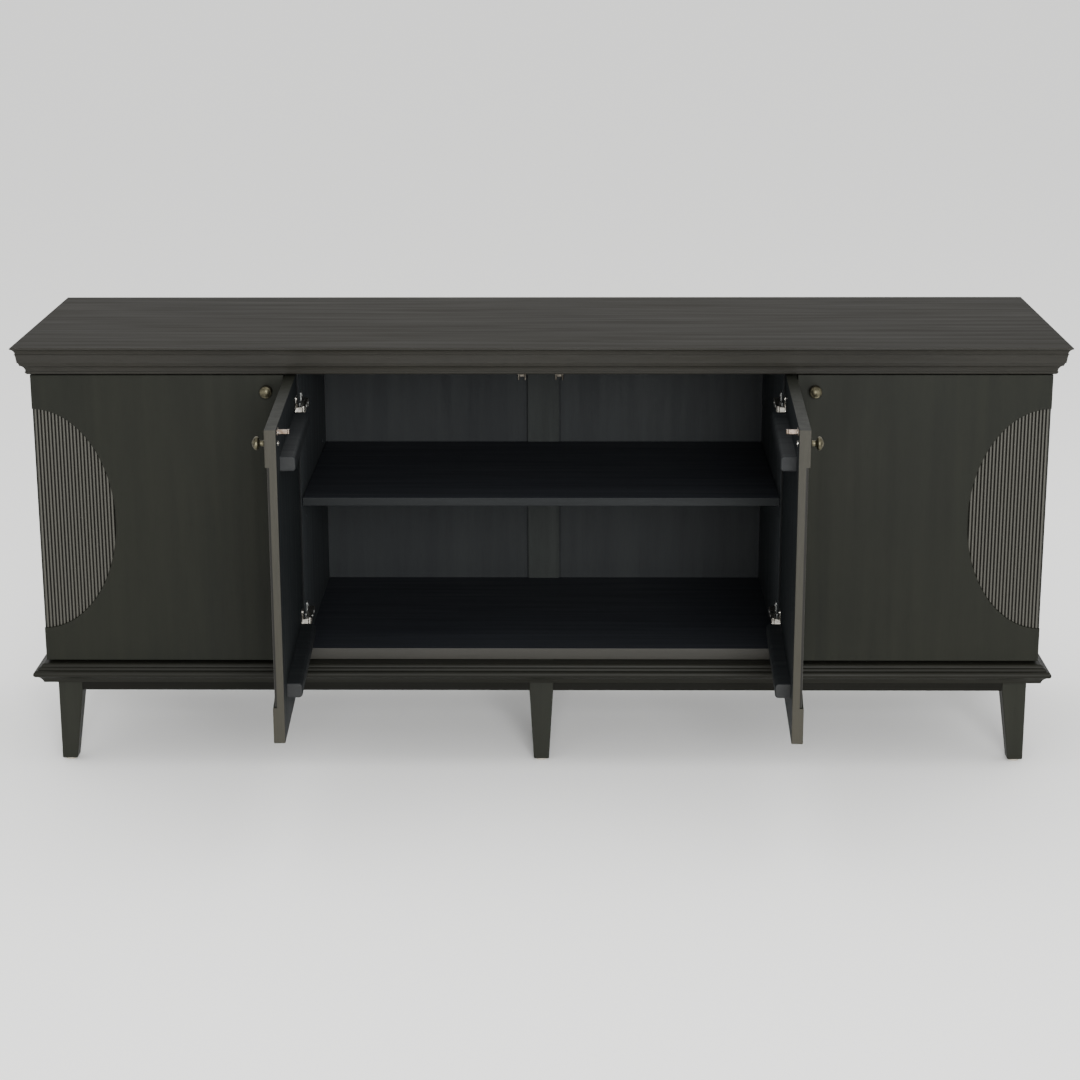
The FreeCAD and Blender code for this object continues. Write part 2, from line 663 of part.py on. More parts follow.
def catch_height():
    return RAIL_BOTTOM - CATCH_BASE - (CATCH_DROP - CATCH_BASE) / 2


def catch_strike():
    """A plate on the door's back with a tongue that the catch grips by its bulb."""
    x = DOOR_WIDTH - CATCH_FROM_EDGE
    z = catch_height()
    y = INSIDE_FACE
    plate = box((x - STRIKE_HALF_WIDTH, y, z - STRIKE_HALF_HEIGHT),
                (x + STRIKE_HALF_WIDTH, y + STRIKE_THICK, z + STRIKE_HALF_HEIGHT))
    low, high = z - TONGUE_HALF_HEIGHT, z + TONGUE_HALF_HEIGHT
    tongue = box((x - TONGUE_HALF, y, low), (x + TONGUE_HALF, y + TONGUE_LENGTH, high))
    bulb = rod(TONGUE_BULB, high - low, (x, y + TONGUE_LENGTH, low), UP)
    return plate.multiFuse([tongue, bulb]).cut(Part.makeCompound(screw_holes())).removeSplitter()


def door_catch():
    """A sprung twin-jaw catch under the front rail."""
    x = DOOR_WIDTH - CATCH_FROM_EDGE
    under = RAIL_BOTTOM
    rear = CATCH_SETBACK + CATCH_LENGTH
    base = box((x - CATCH_HALF_WIDTH, CATCH_SETBACK, under - CATCH_BASE),
               (x + CATCH_HALF_WIDTH, rear, under))
    pieces = []
    for way in (-1, 1):
        low, high = sorted((x + way * CATCH_GAP_HALF, x + way * CATCH_HALF_WIDTH))
        jaw = box((low, JAW_SETBACK, under - CATCH_DROP),
                  (high, JAW_SETBACK + JAW_LENGTH, under - CATCH_BASE))
        ends = [edge for edge in jaw.Edges if edge.BoundBox.ZLength > 1]
        pieces.append(jaw.makeFillet((high - low) * 0.45, ends))
    front = JAW_SETBACK + JAW_LENGTH + BRIDGE_GAP
    bridge = box((x - CATCH_HALF_WIDTH, front, under - CATCH_DROP + BRIDGE_RAISE),
                 (x + CATCH_HALF_WIDTH, rear, under - CATCH_BASE))
    return base.multiFuse(pieces + [bridge]).removeSplitter()


# ---------------------------------------------------------------- hinges
def hinge_arm(wall, z):
    """The arm from its plate on the wall to the pin inside the cup; wall is its X."""
    back = wall + PLATE_THICK
    pin_x, pin_y = ARM_PIN_FROM_EDGE, ARM_PIN_BEHIND
    tip = ARM_TIP_HALF
    web = pin_y + LINK_EYE_RADIUS + ARM_WEB_GAP
    low, high = z - ARM_HALF_HEIGHT, z + ARM_HALF_HEIGHT
    body = prism([(pin_x - tip, web), (pin_x + tip, web), (pin_x + tip, ARM_BEND_OUTER),
                  (back + ARM_WIDTH, ARM_BEND_INNER), (back + ARM_WIDTH, ARM_REAR),
                  (back, ARM_REAR), (back, ARM_SHOULDER)], low, high)
    fork = [(pin_x - tip, pin_y - tip), (pin_x + tip, pin_y - tip), (pin_x + tip, web), (pin_x - tip, web)]
    lower = prism(fork, low, low + CHEEK_THICK)
    upper = prism(fork, high - CHEEK_THICK, high)
    pin = rod(PIN_RADIUS, 2 * ARM_HALF_HEIGHT, (pin_x, pin_y, low), UP)
    return body.multiFuse([lower, upper, pin]).removeSplitter()


def hinge_plate(wall, z):
    """The cross-shaped plate screwed to the wall behind the arm."""
    low_y, high_y = PLATE_SETBACK - PLATE_HALF_LENGTH, PLATE_SETBACK + PLATE_HALF_LENGTH
    bar = box((wall, low_y, z - PLATE_HALF_BAR), (wall + PLATE_THICK, high_y, z + PLATE_HALF_BAR))
    wings = box((wall, PLATE_SETBACK - PLATE_WING, z - PLATE_HALF_HEIGHT),
                (wall + PLATE_THICK, PLATE_SETBACK + PLATE_WING, z + PLATE_HALF_HEIGHT))
    ends = [edge for edge in wings.Edges if edge.BoundBox.XLength > 1]
    face = wall + PLATE_THICK
    heads = [rod(PLATE_SCREW_HEAD, PLATE_SCREW_RISE, (face, PLATE_SETBACK, z + way * PLATE_SCREW_HALF),
                 V(1, 0, 0)) for way in (-1, 1)]
    return wings.makeFillet(PLATE_CORNER, ends).multiFuse([bar] + heads).removeSplitter()


def hinge_link(z):
    """The link that swings in the arm's fork; its far end rides inside the cup."""
    pin_x, pin_y = ARM_PIN_FROM_EDGE, ARM_PIN_BEHIND
    low, high = z - LINK_HALF_HEIGHT, z + LINK_HALF_HEIGHT
    half = LINK_THICK / 2
    strap = box((pin_x, pin_y - half, low), (pin_x + LINK_LENGTH, pin_y + half, high))
    eye = rod(LINK_EYE_RADIUS, high - low, (pin_x, pin_y, low), UP)
    end = rod(LINK_END_RADIUS, high - low, (pin_x + LINK_LENGTH, pin_y, low), UP)
    bore = rod(PIN_RADIUS + PIN_RUNNING_GAP, high - low, (pin_x, pin_y, low), UP)
    link = strap.multiFuse([eye, end]).cut(bore).removeSplitter()
    return turned(link, pin_x, pin_y, LINK_CLOSED_ANGLE)


def door_set(prefix, edge_x, wall, inlay_at_hinge, opening):
    """Every node of one left-hinged door and its hinges, in place."""
    inlay_x, towards = (0.0, 1) if inlay_at_hinge else (DOOR_WIDTH, -1)
    swinging = {
        "door_panel": [door_panel(inlay_x, towards)],
        "reeded_inlay": [reeded_inlay(inlay_x, towards)],
        "knob": [knob()],
        "battens": battens(),
        "hinge_cups": [hinge_cup(z) for z in HINGE_HEIGHTS],
        "catch_strike": [catch_strike()],
        "door_screws": door_screws(),
    }
    nodes = {}
    for name, shapes in swinging.items():
        opened = [turned(shape, AXIS_FROM_EDGE, AXIS_Y, -opening) for shape in shapes]
        nodes[prefix + "_" + name] = opened
    links = [turned(hinge_link(z), ARM_PIN_FROM_EDGE, ARM_PIN_BEHIND, opening * LINK_RATIO)
             for z in HINGE_HEIGHTS]
    nodes[prefix + "_hinge_links"] = links
    fixed = {
        "hinge_arms": [hinge_arm(wall, z) for z in HINGE_HEIGHTS],
        "hinge_plates": [hinge_plate(wall, z) for z in HINGE_HEIGHTS],
        "door_catches": [door_catch()],
    }
    nodes = {name: [moved(s, edge_x, CASE_FRONT) for s in shapes] for name, shapes in nodes.items()}
    fixed = {name: [moved(s, edge_x, CASE_FRONT) for s in shapes] for name, shapes in fixed.items()}
    return nodes, fixed


def doors():
    """All four doors, and what their hinges and catches fix to the case."""
    nodes = {}
    fixed = {"hinge_arms": [], "hinge_plates": [], "door_catches": []}
    inner_edge = -PARTITION_X + DOOR_GAP / 2
    inner_wall = PARTITION_THICK / 2 - DOOR_GAP / 2
    sets = [("outer", -CASE_HALF, SIDE_THICK, True, 0.0),
            ("inner", inner_edge, inner_wall, False, REST_OPENING)]
    for kind, edge_x, wall, inlay_at_hinge, opening in sets:
        left, still = door_set(kind + "_left", edge_x, wall, inlay_at_hinge, opening)
        for name, shapes in left.items():
            nodes[name] = shapes
            nodes[name.replace("_left_", "_right_")] = [mirrored(shape) for shape in shapes]
        for name, shapes in still.items():
            fixed[name] += shapes + [mirrored(shape) for shape in shapes]
    nodes.update(fixed)
    return nodes


# ---------------------------------------------------------------- everything
def carcass():
    nodes = {"top_board": [top_board()]}
    for word, side in (("front", 0), ("left", -1), ("right", 1)):
        nodes["crown_moulding_" + word] = [crown_run(side)]
        nodes["base_moulding_" + word] = [base_run(side)]
    nodes["side_panel_right"] = [side_panel()]
    nodes["side_panel_left"] = [mirrored(side_panel())]
    nodes["partition_right"] = [partition()]
    nodes["partition_left"] = [mirrored(partition())]
    nodes["bottom_panel"] = [bottom_panel()]
    nodes["back_panels"] = back_panels()
    nodes["back_stile"] = [back_stile()]
    nodes["front_rails"] = front_rails()
    nodes["apron_rails"] = apron_rails()
    corner = leg_corner(False)
    middle = leg_corner(True)
    nodes["leg_front_left"] = [corner]
    nodes["leg_front_centre"] = [middle]
    nodes["leg_front_right"] = [mirrored(corner)]
    nodes["legs_rear"] = [leg_to_rear(leg) for leg in (corner, middle, mirrored(corner))]
    nodes["leg_glides"] = [glide(x, y) for x, y in leg_places()]
    for word, span in bays().items():
        nodes["shelf_" + word] = [shelf(span)]
    nodes["shelf_pins"] = shelf_pins()
    return nodes


os.makedirs("parts", exist_ok=True)
everything = {**carcass(), **doors()}
for node, solids in sorted(everything.items()):
    shape = solids[0] if len(solids) == 1 else Part.makeCompound(solids)
    if not shape.isValid():
        raise ValueError(node + " is not a valid shape")
    shape.exportStep("parts/" + node + ".step")
print(len(everything), "nodes; case front at Y", round(CASE_FRONT, 3))
print("outer axis X", round(-CASE_HALF + AXIS_FROM_EDGE, 3), "Y", round(CASE_FRONT + AXIS_Y, 3))
print("inner axis X", round(-PARTITION_X + DOOR_GAP / 2 + AXIS_FROM_EDGE, 3))
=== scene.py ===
"""Looks of the four-door sideboard, made around the fixed frame.

Shapes are worked out in millimetres with numpy and put into meshes in metres.
"""

import json
import math

import bpy
import numpy as np
from mathutils import Matrix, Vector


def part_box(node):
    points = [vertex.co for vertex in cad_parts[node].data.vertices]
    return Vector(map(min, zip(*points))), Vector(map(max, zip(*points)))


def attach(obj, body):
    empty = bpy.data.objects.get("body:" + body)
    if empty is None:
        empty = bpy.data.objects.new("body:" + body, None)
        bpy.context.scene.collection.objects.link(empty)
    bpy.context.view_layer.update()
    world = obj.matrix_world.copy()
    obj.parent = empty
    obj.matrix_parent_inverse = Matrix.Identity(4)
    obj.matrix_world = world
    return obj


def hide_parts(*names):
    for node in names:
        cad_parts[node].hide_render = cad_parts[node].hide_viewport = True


MM = 0.001
SHARP = 32.0
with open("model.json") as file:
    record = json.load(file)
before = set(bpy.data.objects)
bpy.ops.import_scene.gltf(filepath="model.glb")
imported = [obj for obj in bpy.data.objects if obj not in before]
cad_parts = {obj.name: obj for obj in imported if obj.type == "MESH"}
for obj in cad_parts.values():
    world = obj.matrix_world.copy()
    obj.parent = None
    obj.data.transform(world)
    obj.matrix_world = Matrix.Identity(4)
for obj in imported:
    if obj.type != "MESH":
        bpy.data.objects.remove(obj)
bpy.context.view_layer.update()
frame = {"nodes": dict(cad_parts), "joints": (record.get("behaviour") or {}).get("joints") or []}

# ------------------------------------------------------------------ places from the frame
JOINTS = {joint["name"]: joint for joint in frame["joints"]}


def corners(node):
    """Lowest and highest corner of a node at rest, in millimetres."""
    low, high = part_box(node)
    return np.array(low) / MM, np.array(high) / MM


DOOR_LOW, DOOR_HIGH = corners("outer_left_door_panel")
TOP_LOW, TOP_HIGH = corners("top_board")
SIDE_LOW, SIDE_HIGH = corners("side_panel_right")
CASE_HALF = SIDE_HIGH[0]
CASE_FRONT, CASE_BACK = SIDE_LOW[1], SIDE_HIGH[1]
FACE_Y = DOOR_LOW[1]
DOOR_WIDTH = DOOR_HIGH[0] - DOOR_LOW[0]
DOOR_THICK = DOOR_HIGH[1] - DOOR_LOW[1]
DOOR_FRONT = DOOR_LOW[1] - CASE_FRONT
DOOR_BACK = DOOR_HIGH[1] - CASE_FRONT
DOOR_FOOT, DOOR_HEAD = DOOR_LOW[2], DOOR_HIGH[2]
DOOR_MIDDLE = (DOOR_FOOT + DOOR_HEAD) / 2
DOOR_GAP = (2 * CASE_HALF - 4 * DOOR_WIDTH) / 3
TOP_Z = TOP_HIGH[2]
BOARD_UNDER = TOP_LOW[2]
BASE_TOP = SIDE_LOW[2]
OVERHANG = TOP_HIGH[0] - CASE_HALF
RAIL_BOTTOM = corners("front_rails")[0][2]
MOULD_LOW = corners("base_moulding_front")[0][2]
APRON_BOTTOM = corners("apron_rails")[0][2]


# ------------------------------------------------------------------ surfaces and meshes
def arc(start, middle, end, steps=8):
    """Points on the circle through three points, from the first to the last."""
    (ax, ay), (bx, by), (cx, cy) = start, middle, end
    d = 2 * (ax * (by - cy) + bx * (cy - ay) + cx * (ay - by))
    a2, b2, c2 = ax * ax + ay * ay, bx * bx + by * by, cx * cx + cy * cy
    ux = (a2 * (by - cy) + b2 * (cy - ay) + c2 * (ay - by)) / d
    uy = (a2 * (cx - bx) + b2 * (ax - cx) + c2 * (bx - ax)) / d
    radius = math.hypot(ax - ux, ay - uy)
    first = math.atan2(ay - uy, ax - ux)
    turn = (math.atan2(cy - uy, cx - ux) - first) % (2 * math.pi)
    via = (math.atan2(by - uy, bx - ux) - first) % (2 * math.pi)
    if via > turn:
        turn -= 2 * math.pi
    angle = first + turn * np.linspace(0, 1, steps + 1)
    return np.column_stack([ux + radius * np.cos(angle), uy + radius * np.sin(angle)])


def outline(*steps):
    """A row of points; a step of three points is an arc through them."""
    rows = [arc(*step) if isinstance(step[0], tuple) else np.array([step]) for step in steps]
    return np.vstack(rows)


def loft(rings):
    """Rows of matching points joined side to side, with a flat cap at each end."""
    rings = np.asarray(rings, float)
    rows, cols = rings.shape[:2]
    row = (np.arange(rows - 1) * cols)[:, None]
    here = np.arange(cols)[None, :]
    there = (here + 1) % cols
    quads = np.stack([row + here, row + there, row + cols + there, row + cols + here], -1)
    last = (rows - 1) * cols
    caps = [list(range(cols))[::-1], list(range(last, last + cols))]
    return rings.reshape(-1, 3), quads.reshape(-1, 4).tolist() + caps


def slab(front, back):
    """Two matching grids of points, front and back, closed round their rim."""
    rows, cols = front.shape[:2]
    count = rows * cols
    row = (np.arange(rows - 1) * cols)[:, None]
    col = np.arange(cols - 1)[None, :]
    quads = np.stack([row + col, row + col + 1, row + cols + col + 1, row + cols + col], -1)
    quads = quads.reshape(-1, 4)
    index = np.arange(count).reshape(rows, cols)
    rim = np.concatenate([index[0, :], index[1:, -1], index[-1, -2::-1], index[-2:0:-1, 0]])
    ahead = np.roll(rim, -1)
    wall = np.stack([ahead, rim, rim + count, ahead + count], -1)
    faces = np.vstack([quads, quads[:, ::-1] + count, wall])
    return np.vstack([front.reshape(-1, 3), back.reshape(-1, 3)]), faces.tolist()


def rounded(low_u, high_u, low_v, high_v, radius, steps=4):
    """A rectangle in two coordinates with quarter-circle corners."""
    angle = np.linspace(0, math.pi / 2, steps + 1)
    centres = [(high_u, high_v, 0), (low_u, high_v, 1), (low_u, low_v, 2), (high_u, low_v, 3)]
    rows = []
    for u, v, quarter in centres:
        a = angle + quarter * math.pi / 2
        in_u = u - radius * np.sign(u - (low_u + high_u) / 2)
        in_v = v - radius * np.sign(v - (low_v + high_v) / 2)
        rows.append(np.column_stack([in_u + radius * np.cos(a), in_v + radius * np.sin(a)]))
    return np.vstack(rows)


def eased_block(low, high, ease, along=0, steps=3):
    """A board as a rounded rectangle carried along one axis, its ends eased the same way.

    Near each end the section shrinks by ease * (1 - cos a) while it moves ease * sin a.
    """
    low, high = np.array(low, float), np.array(high, float)
    u, v = [axis for axis in range(3) if axis != along]
    angle = np.linspace(0, math.pi / 2, steps + 1)
    inset = ease * (1 - np.sin(angle))
    travel = ease * (1 - np.cos(angle))
    stations = [(low[along] + t, i) for t, i in zip(travel, inset)]
    stations += [(high[along] - t, i) for t, i in zip(travel[::-1], inset[::-1])]
    rings = []
    for place, shrink in stations:
        radius = max(ease - shrink, ease * 0.02)
        flat = rounded(low[u] + shrink, high[u] - shrink, low[v] + shrink, high[v] - shrink, radius)
        ring = np.empty((len(flat), 3))
        ring[:, along] = place
        ring[:, u], ring[:, v] = flat.T
        rings.append(ring)
    return loft(rings)


def lathe(profile, origin, axis, segments=48):
    """A profile of (radius, height) spun about an axis: x = r cos t, y = r sin t, z = h."""
    profile = np.asarray(profile, float)
    turn = np.linspace(0, 2 * math.pi, segments, endpoint=False)
    radius = np.maximum(profile[:, 0], 0.02)[:, None]
    flat = np.stack([radius * np.cos(turn), radius * np.sin(turn),
                     np.broadcast_to(profile[:, 1:2], (len(profile), segments))], -1)
    axis = np.array(axis, float)
    side = np.array([0.0, 0.0, 1.0]) if abs(axis[2]) < 0.9 else np.array([1.0, 0.0, 0.0])
    across = np.cross(axis, side)
    basis = np.array([np.cross(across, axis), across, axis])
    return loft(flat @ basis + np.array(origin, float))


def outward(points, faces):
    """Turns a closed shape's faces round if its signed volume is negative."""
    volume = 0.0
    for face in faces:
        a = points[face[0]]
        fan = np.cross(points[face[1:-1]], points[face[2:]])
        volume += float((fan @ a).sum())
    return faces if volume > 0 else [face[::-1] for face in faces]


def bored(shape, cutters):
    """The shape with the cutters taken away by a boolean, as points and faces in millimetres."""
    placed = []
    for points, faces in (shape, *cutters):
        mesh = bpy.data.meshes.new("bored")
        points = np.asarray(points, float)
        mesh.from_pydata((points * MM).tolist(), [], outward(points, faces))
        holder = bpy.data.objects.new("bored", mesh)
        bpy.context.scene.collection.objects.link(holder)
        placed.append(holder)
    body, *tools = placed
    for tool in tools:
        cut = body.modifiers.new("cut", "BOOLEAN")
        cut.operation, cut.solver, cut.object = "DIFFERENCE", "EXACT", tool
    bpy.context.view_layer.update()
    result = body.evaluated_get(bpy.context.evaluated_depsgraph_get()).to_mesh()
    points = np.array([tuple(vertex.co) for vertex in result.vertices]) / MM
    faces = [list(polygon.vertices) for polygon in result.polygons]
    for holder in placed:
        mesh = holder.data
        bpy.data.objects.remove(holder)
        bpy.data.meshes.remove(mesh)
    return points, faces


def piece(name, shapes, body, finish, replaces=(), crest=None):
    """One mesh object from closed shapes (points in millimetres, faces), riding on a body.

    finish is (material, slot); the slot is not used. Edges sharper than SHARP stay crisp,
    and normals are weighted by area, so a flat face stays flat beside its eased edge.
    """
    points, faces, start = [], [], 0
    for shape_points, shape_faces in shapes:
        shape_points = np.asarray(shape_points, float) * MM
        for face in outward(shape_points, shape_faces):
            faces.append([start + corner for corner in face])
        points.append(shape_points)
        start += len(shape_points)
    mesh = bpy.data.meshes.new(name)
    mesh.from_pydata(np.vstack(points).tolist(), [], faces)
    mesh.validate()
    mesh.polygons.foreach_set("use_smooth", [True] * len(mesh.polygons))
    mesh.set_sharp_from_angle(angle=math.radians(SHARP))
    material, slot = finish
    mesh.materials.append(material)
    if crest is not None:
        mesh.attributes.new("crest", "FLOAT", "POINT").data.foreach_set("value", crest)
    made = bpy.data.objects.new(name, mesh)
    bpy.context.scene.collection.objects.link(made)
    made.modifiers.new("even_shading", "WEIGHTED_NORMAL").keep_sharp = True
    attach(made, body)
    if replaces:
        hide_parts(*replaces)
    return made


# ------------------------------------------------------------------ materials
def colour(text):
    """An sRGB hex value as linear red, green, blue and alpha."""
    parts = [int(text[i:i + 2], 16) / 255 for i in (0, 2, 4)]
    linear = [c / 12.92 if c <= 0.04045 else ((c + 0.055) / 1.055) ** 2.4 for c in parts]
    return (*linear, 1.0)


def add(tree, kind, settings=None, links=None):
    """Adds a node, sets its properties, sockets or ramp stops, and links its inputs."""
    node = tree.nodes.new(kind)
    for key, value in (settings or {}).items():
        if key == "stops":
            for element, (place, shade) in zip(node.color_ramp.elements, value):
                element.position, element.color = place, shade
        elif isinstance(key, str) and hasattr(node, key):
            setattr(node, key, value)
        else:
            node.inputs[key].default_value = value
    for key, (source, output) in (links or {}).items():
        tree.links.new(source.outputs[output], node.inputs[key])
    return node


def grey(level):
    return (level, level, level, 1.0)


def new_material(name, **shader):
    """A principled material; shader values are set straight on its sockets."""
    material = bpy.data.materials.new(name)
    material.use_nodes = True
    tree = material.node_tree
    principled = tree.nodes["Principled BSDF"]
    for key, value in shader.items():
        principled.inputs[key.replace("_", " ").title().replace("Ior", "IOR")].default_value = value
    return material, tree, principled


def stained_wood(name, deep, light, grain_axis, roughness=0.5, pores=0.16, shine=0.3, crest=None):
    """Open-grained ash stained near black under satin lacquer.

    The eye gets a soft sheen with no clear reflection, faint growth lines 10 to
    20 mm apart, and short pores that break the sheen. The pores are drawn about
    1 mm wide and 20 mm long, coarser than the real 0.3 mm so that they show.
    With crest, the colour grows lighter where the piece's own "crest" attribute
    is high: a painted highlight along the reeds' crests, with the valleys left dark as painted shade.
    """
    material, tree, principled = new_material(name, roughness=roughness, specular_ior_level=shine)
    place = add(tree, "ShaderNodeTexCoord")
    stretch = [1.0, 1.0, 1.0]
    stretch[grain_axis] = 0.05
    run = add(tree, "ShaderNodeMapping", {"Scale": tuple(stretch)}, {"Vector": (place, "Object")})
    figure = add(tree, "ShaderNodeTexNoise",
                 {"Scale": 52.0, "Detail": 4.0, "Roughness": 0.6, "Distortion": 0.3},
                 {"Vector": (run, "Vector")})
    fine = add(tree, "ShaderNodeTexNoise", {"Scale": 560.0, "Detail": 3.0, "Roughness": 0.7},
               {"Vector": (run, "Vector")})
    cloud = add(tree, "ShaderNodeTexNoise", {"Scale": 2.4, "Detail": 2.0}, {"Vector": (place, "Object")})
    tone = add(tree, "ShaderNodeValToRGB", {"stops": [(0.30, colour(deep)), (0.70, colour(light))]},
               {"Fac": (figure, "Fac")})
    mottle = add(tree, "ShaderNodeValToRGB",
                 {"stops": [(0.3, (0.88, 0.89, 0.91, 1)), (0.7, (1.06, 1.05, 1.02, 1))]},
                 {"Fac": (cloud, "Fac")})
    mixed = add(tree, "ShaderNodeMix", {"data_type": "RGBA", "blend_type": "MULTIPLY", 0: 1.0},
                {6: (tone, "Color"), 7: (mottle, "Color")})
    pore = add(tree, "ShaderNodeValToRGB", {"stops": [(0.36, grey(1.0 - pores)), (0.50, grey(1.0))]},
               {"Fac": (fine, "Fac")})
    stained = add(tree, "ShaderNodeMix", {"data_type": "RGBA", "blend_type": "MULTIPLY", 0: 1.0},
                  {6: (mixed, 2), 7: (pore, "Color")})
    if crest:
        # Painted highlight: a lighter colour mixed in where crest is high.
        height = add(tree, "ShaderNodeAttribute", {"attribute_name": "crest"})
        crest_highlight_colour, wear_and_highlight = crest
        share = add(tree, "ShaderNodeValToRGB", {"stops": [(0.30, grey(0.0)), (0.85, grey(wear_and_highlight))]},
                    {"Fac": (height, "Fac")})
        stained = add(tree, "ShaderNodeMix", {"data_type": "RGBA", 7: colour(crest_highlight_colour)},
                      {0: (share, "Color"), 6: (stained, 2)})
    tree.links.new(stained.outputs[2], principled.inputs["Base Color"])
    gloss = add(tree, "ShaderNodeMapRange",
                {"From Min": 0.3, "From Max": 0.7, "To Min": roughness + 0.05, "To Max": roughness - 0.05},
                {"Value": (figure, "Fac")})
    tree.links.new(gloss.outputs["Result"], principled.inputs["Roughness"])
    bump = add(tree, "ShaderNodeBump", {"Strength": 0.25, "Distance": 0.0003}, {"Height": (pore, "Color")})
    tree.links.new(bump.outputs["Normal"], principled.inputs["Normal"])
    return material


def plated_metal(name, tint, wear_and_highlight, roughness, patch=90.0):
    """Plated metal: a slow change of tone and polish, in patches about 10 mm across."""
    material, tree, principled = new_material(name, metallic=1.0, roughness=roughness)
    place = add(tree, "ShaderNodeTexCoord")
    cloud = add(tree, "ShaderNodeTexNoise", {"Scale": patch, "Detail": 4.0, "Roughness": 0.6},
                {"Vector": (place, "Object")})
    tone = add(tree, "ShaderNodeValToRGB", {"stops": [(0.35, colour(wear_and_highlight)), (0.65, colour(tint))]},
               {"Fac": (cloud, "Fac")})
    tree.links.new(tone.outputs["Color"], principled.inputs["Base Color"])
    gloss = add(tree, "ShaderNodeMapRange",
                {"From Min": 0.3, "From Max": 0.7, "To Min": roughness + 0.1, "To Max": roughness - 0.05},
                {"Value": (cloud, "Fac")})
    tree.links.new(gloss.outputs["Result"], principled.inputs["Roughness"])
    return material


def moulded_nylon(name, dark, light):
    """Moulded nylon: off-white, matt, with fine scuffs about 1 mm apart."""
    material, tree, principled = new_material(name, roughness=0.55)
    place = add(tree, "ShaderNodeTexCoord")
    scuff = add(tree, "ShaderNodeTexNoise", {"Scale": 900.0, "Detail": 3.0}, {"Vector": (place, "Object")})
    tone = add(tree, "ShaderNodeValToRGB", {"stops": [(0.3, colour(dark)), (0.7, colour(light))]},
               {"Fac": (scuff, "Fac")})
    tree.links.new(tone.outputs["Color"], principled.inputs["Base Color"])
    return material


# Ebonised ash: near black with a warm cast, a lighter bloom where light skims the lacquer. It is one wood all
# through; the copies below are lighter or darker only as painted light and shade on their parts.
# The top's face is a darker copy: painted shade for the light an upward face takes.
TOP_ASH = stained_wood("Ebonised ash top, painted shade", "14120B", "17150E", 0, pores=0.08, shine=0.0308)
# The crown is a lighter copy: painted light.
CROWN_X = (stained_wood("Ebonised ash crown, grain across, painted light", "201F1B", "252421", 0, shine=0.115),
           "ebonised_wood")
CROWN_Y = (stained_wood("Ebonised ash crown, grain front to back, painted light", "201F1B", "252421", 1, shine=0.115),
           "ebonised_wood")
# The base moulding is a darker copy: painted shade for the light it takes from the floor.
BASE_X = (stained_wood("Ebonised ash base, grain across, painted shade", "161612", "1A1A16", 0, pores=0.1, shine=0.0923),
          "ebonised_wood")
BASE_Y = (stained_wood("Ebonised ash base, grain front to back, painted shade", "161612", "1A1A16", 1,
                       pores=0.1, shine=0.0923),
          "ebonised_wood")
# The aprons are a darker copy: painted shade.
APRON_ASH = (stained_wood("Ebonised ash aprons, painted shade", "11110E", "151512", 0, pores=0.1, shine=0.05),
             "ebonised_wood")
ASH_Z = (stained_wood("Ebonised ash, upright grain", "191A16", "1C1D18", 2, pores=0.08, shine=0.0692),
         "ebonised_wood")
# The legs are a lighter copy: painted light.
LEG_ASH = (stained_wood("Ebonised ash legs, painted light", "1C1D18", "20211C", 2, pores=0.1, shine=0.0923),
           "ebonised_wood")
# The doors' backs and the battens on them are a darker, colder copy of the same stain: painted shade for the
# faces turned into the case.
DOOR_BACK_ASH = stained_wood("Ebonised ash, door backs, painted shade", "121517", "151819", 2, roughness=0.6, shine=0.0923)
BATTEN_ASH = (stained_wood("Ebonised ash battens, painted shade", "121416", "181A1B", 0, roughness=0.58, shine=0.0923),
              "ebonised_wood")
# The doors' free edges get a paler copy of the stain: a painted highlight for the light those edges catch.
DOOR_EDGE_HIGHLIGHT = stained_wood("Ebonised ash, painted highlight on door edges", "282721", "2F2D26", 2, shine=0.154)
# The battens' ends get a paler copy: a painted highlight where they face the light.
BATTEN_END = stained_wood("Ebonised ash, batten ends, painted highlight", "242526", "2A2B2B", 1, roughness=0.6, shine=0.09)
# Reeds: painted shade between them, a painted highlight along their crests.
REED = (stained_wood("Ebonised ash, reeded, painted shade and highlight", "0F0E0C", "151410", 2, roughness=0.42, shine=0.192,
                     crest=("44433D", 0.85)), "reeded_wood")
# Birch ply stained blue-black, flatter than the outside as it has no lacquer. Its darker, colder tone inside
# the case is painted shade.
INSIDE_X = (stained_wood("Stained birch ply, grain across, painted shade", "1A1C20", "222428", 0,
                         roughness=0.62, shine=0.154), "case_wood")
# The partitions are a lighter copy: painted bounce light.
PARTITION_PLY = (stained_wood("Stained birch ply partitions, painted bounce light", "292C2E", "2E3133", 2,
                              roughness=0.6, shine=0.154), "case_wood")
STILE_PLY = (stained_wood("Stained birch ply stile", "1A1D1C", "1E2120", 2,
                          roughness=0.6, shine=0.154), "case_wood")
# A near-black strip on each partition's front: painted shade, no real part.
PARTITION_FRONT_SHADE = (stained_wood("Painted shade strip on partition fronts", "0B0C0D", "0F1010", 2, roughness=0.6, shine=0.0769),
             "case_wood")
BACK_SHEET = (stained_wood("Stained plywood back", "17191B", "191C1D", 2, roughness=0.6, shine=0.154),
              "back_sheet")
SHELF_LIPPING = stained_wood("Stained birch lipping", "141617", "191B1C", 0, roughness=0.5, shine=0.0923)
BASE_LIPPING = stained_wood("Ebonised ash base lipping", "21201A", "272520", 0)
OLD_BRASS = (plated_metal("Antiqued bronze", "625E4D", "333026", 0.46, 140.0), "antique_brass")
BLACK_BRONZE = (plated_metal("Blackened bronze", "25231E", "161511", 0.5, 140.0), "antique_brass")
BRASS = (plated_metal("Brass plate", "82766C", "4F4338", 0.3), "catch_brass")
NICKEL = (plated_metal("Nickel plate", "B8B5AE", "7F7B74", 0.28), "nickel_plate")
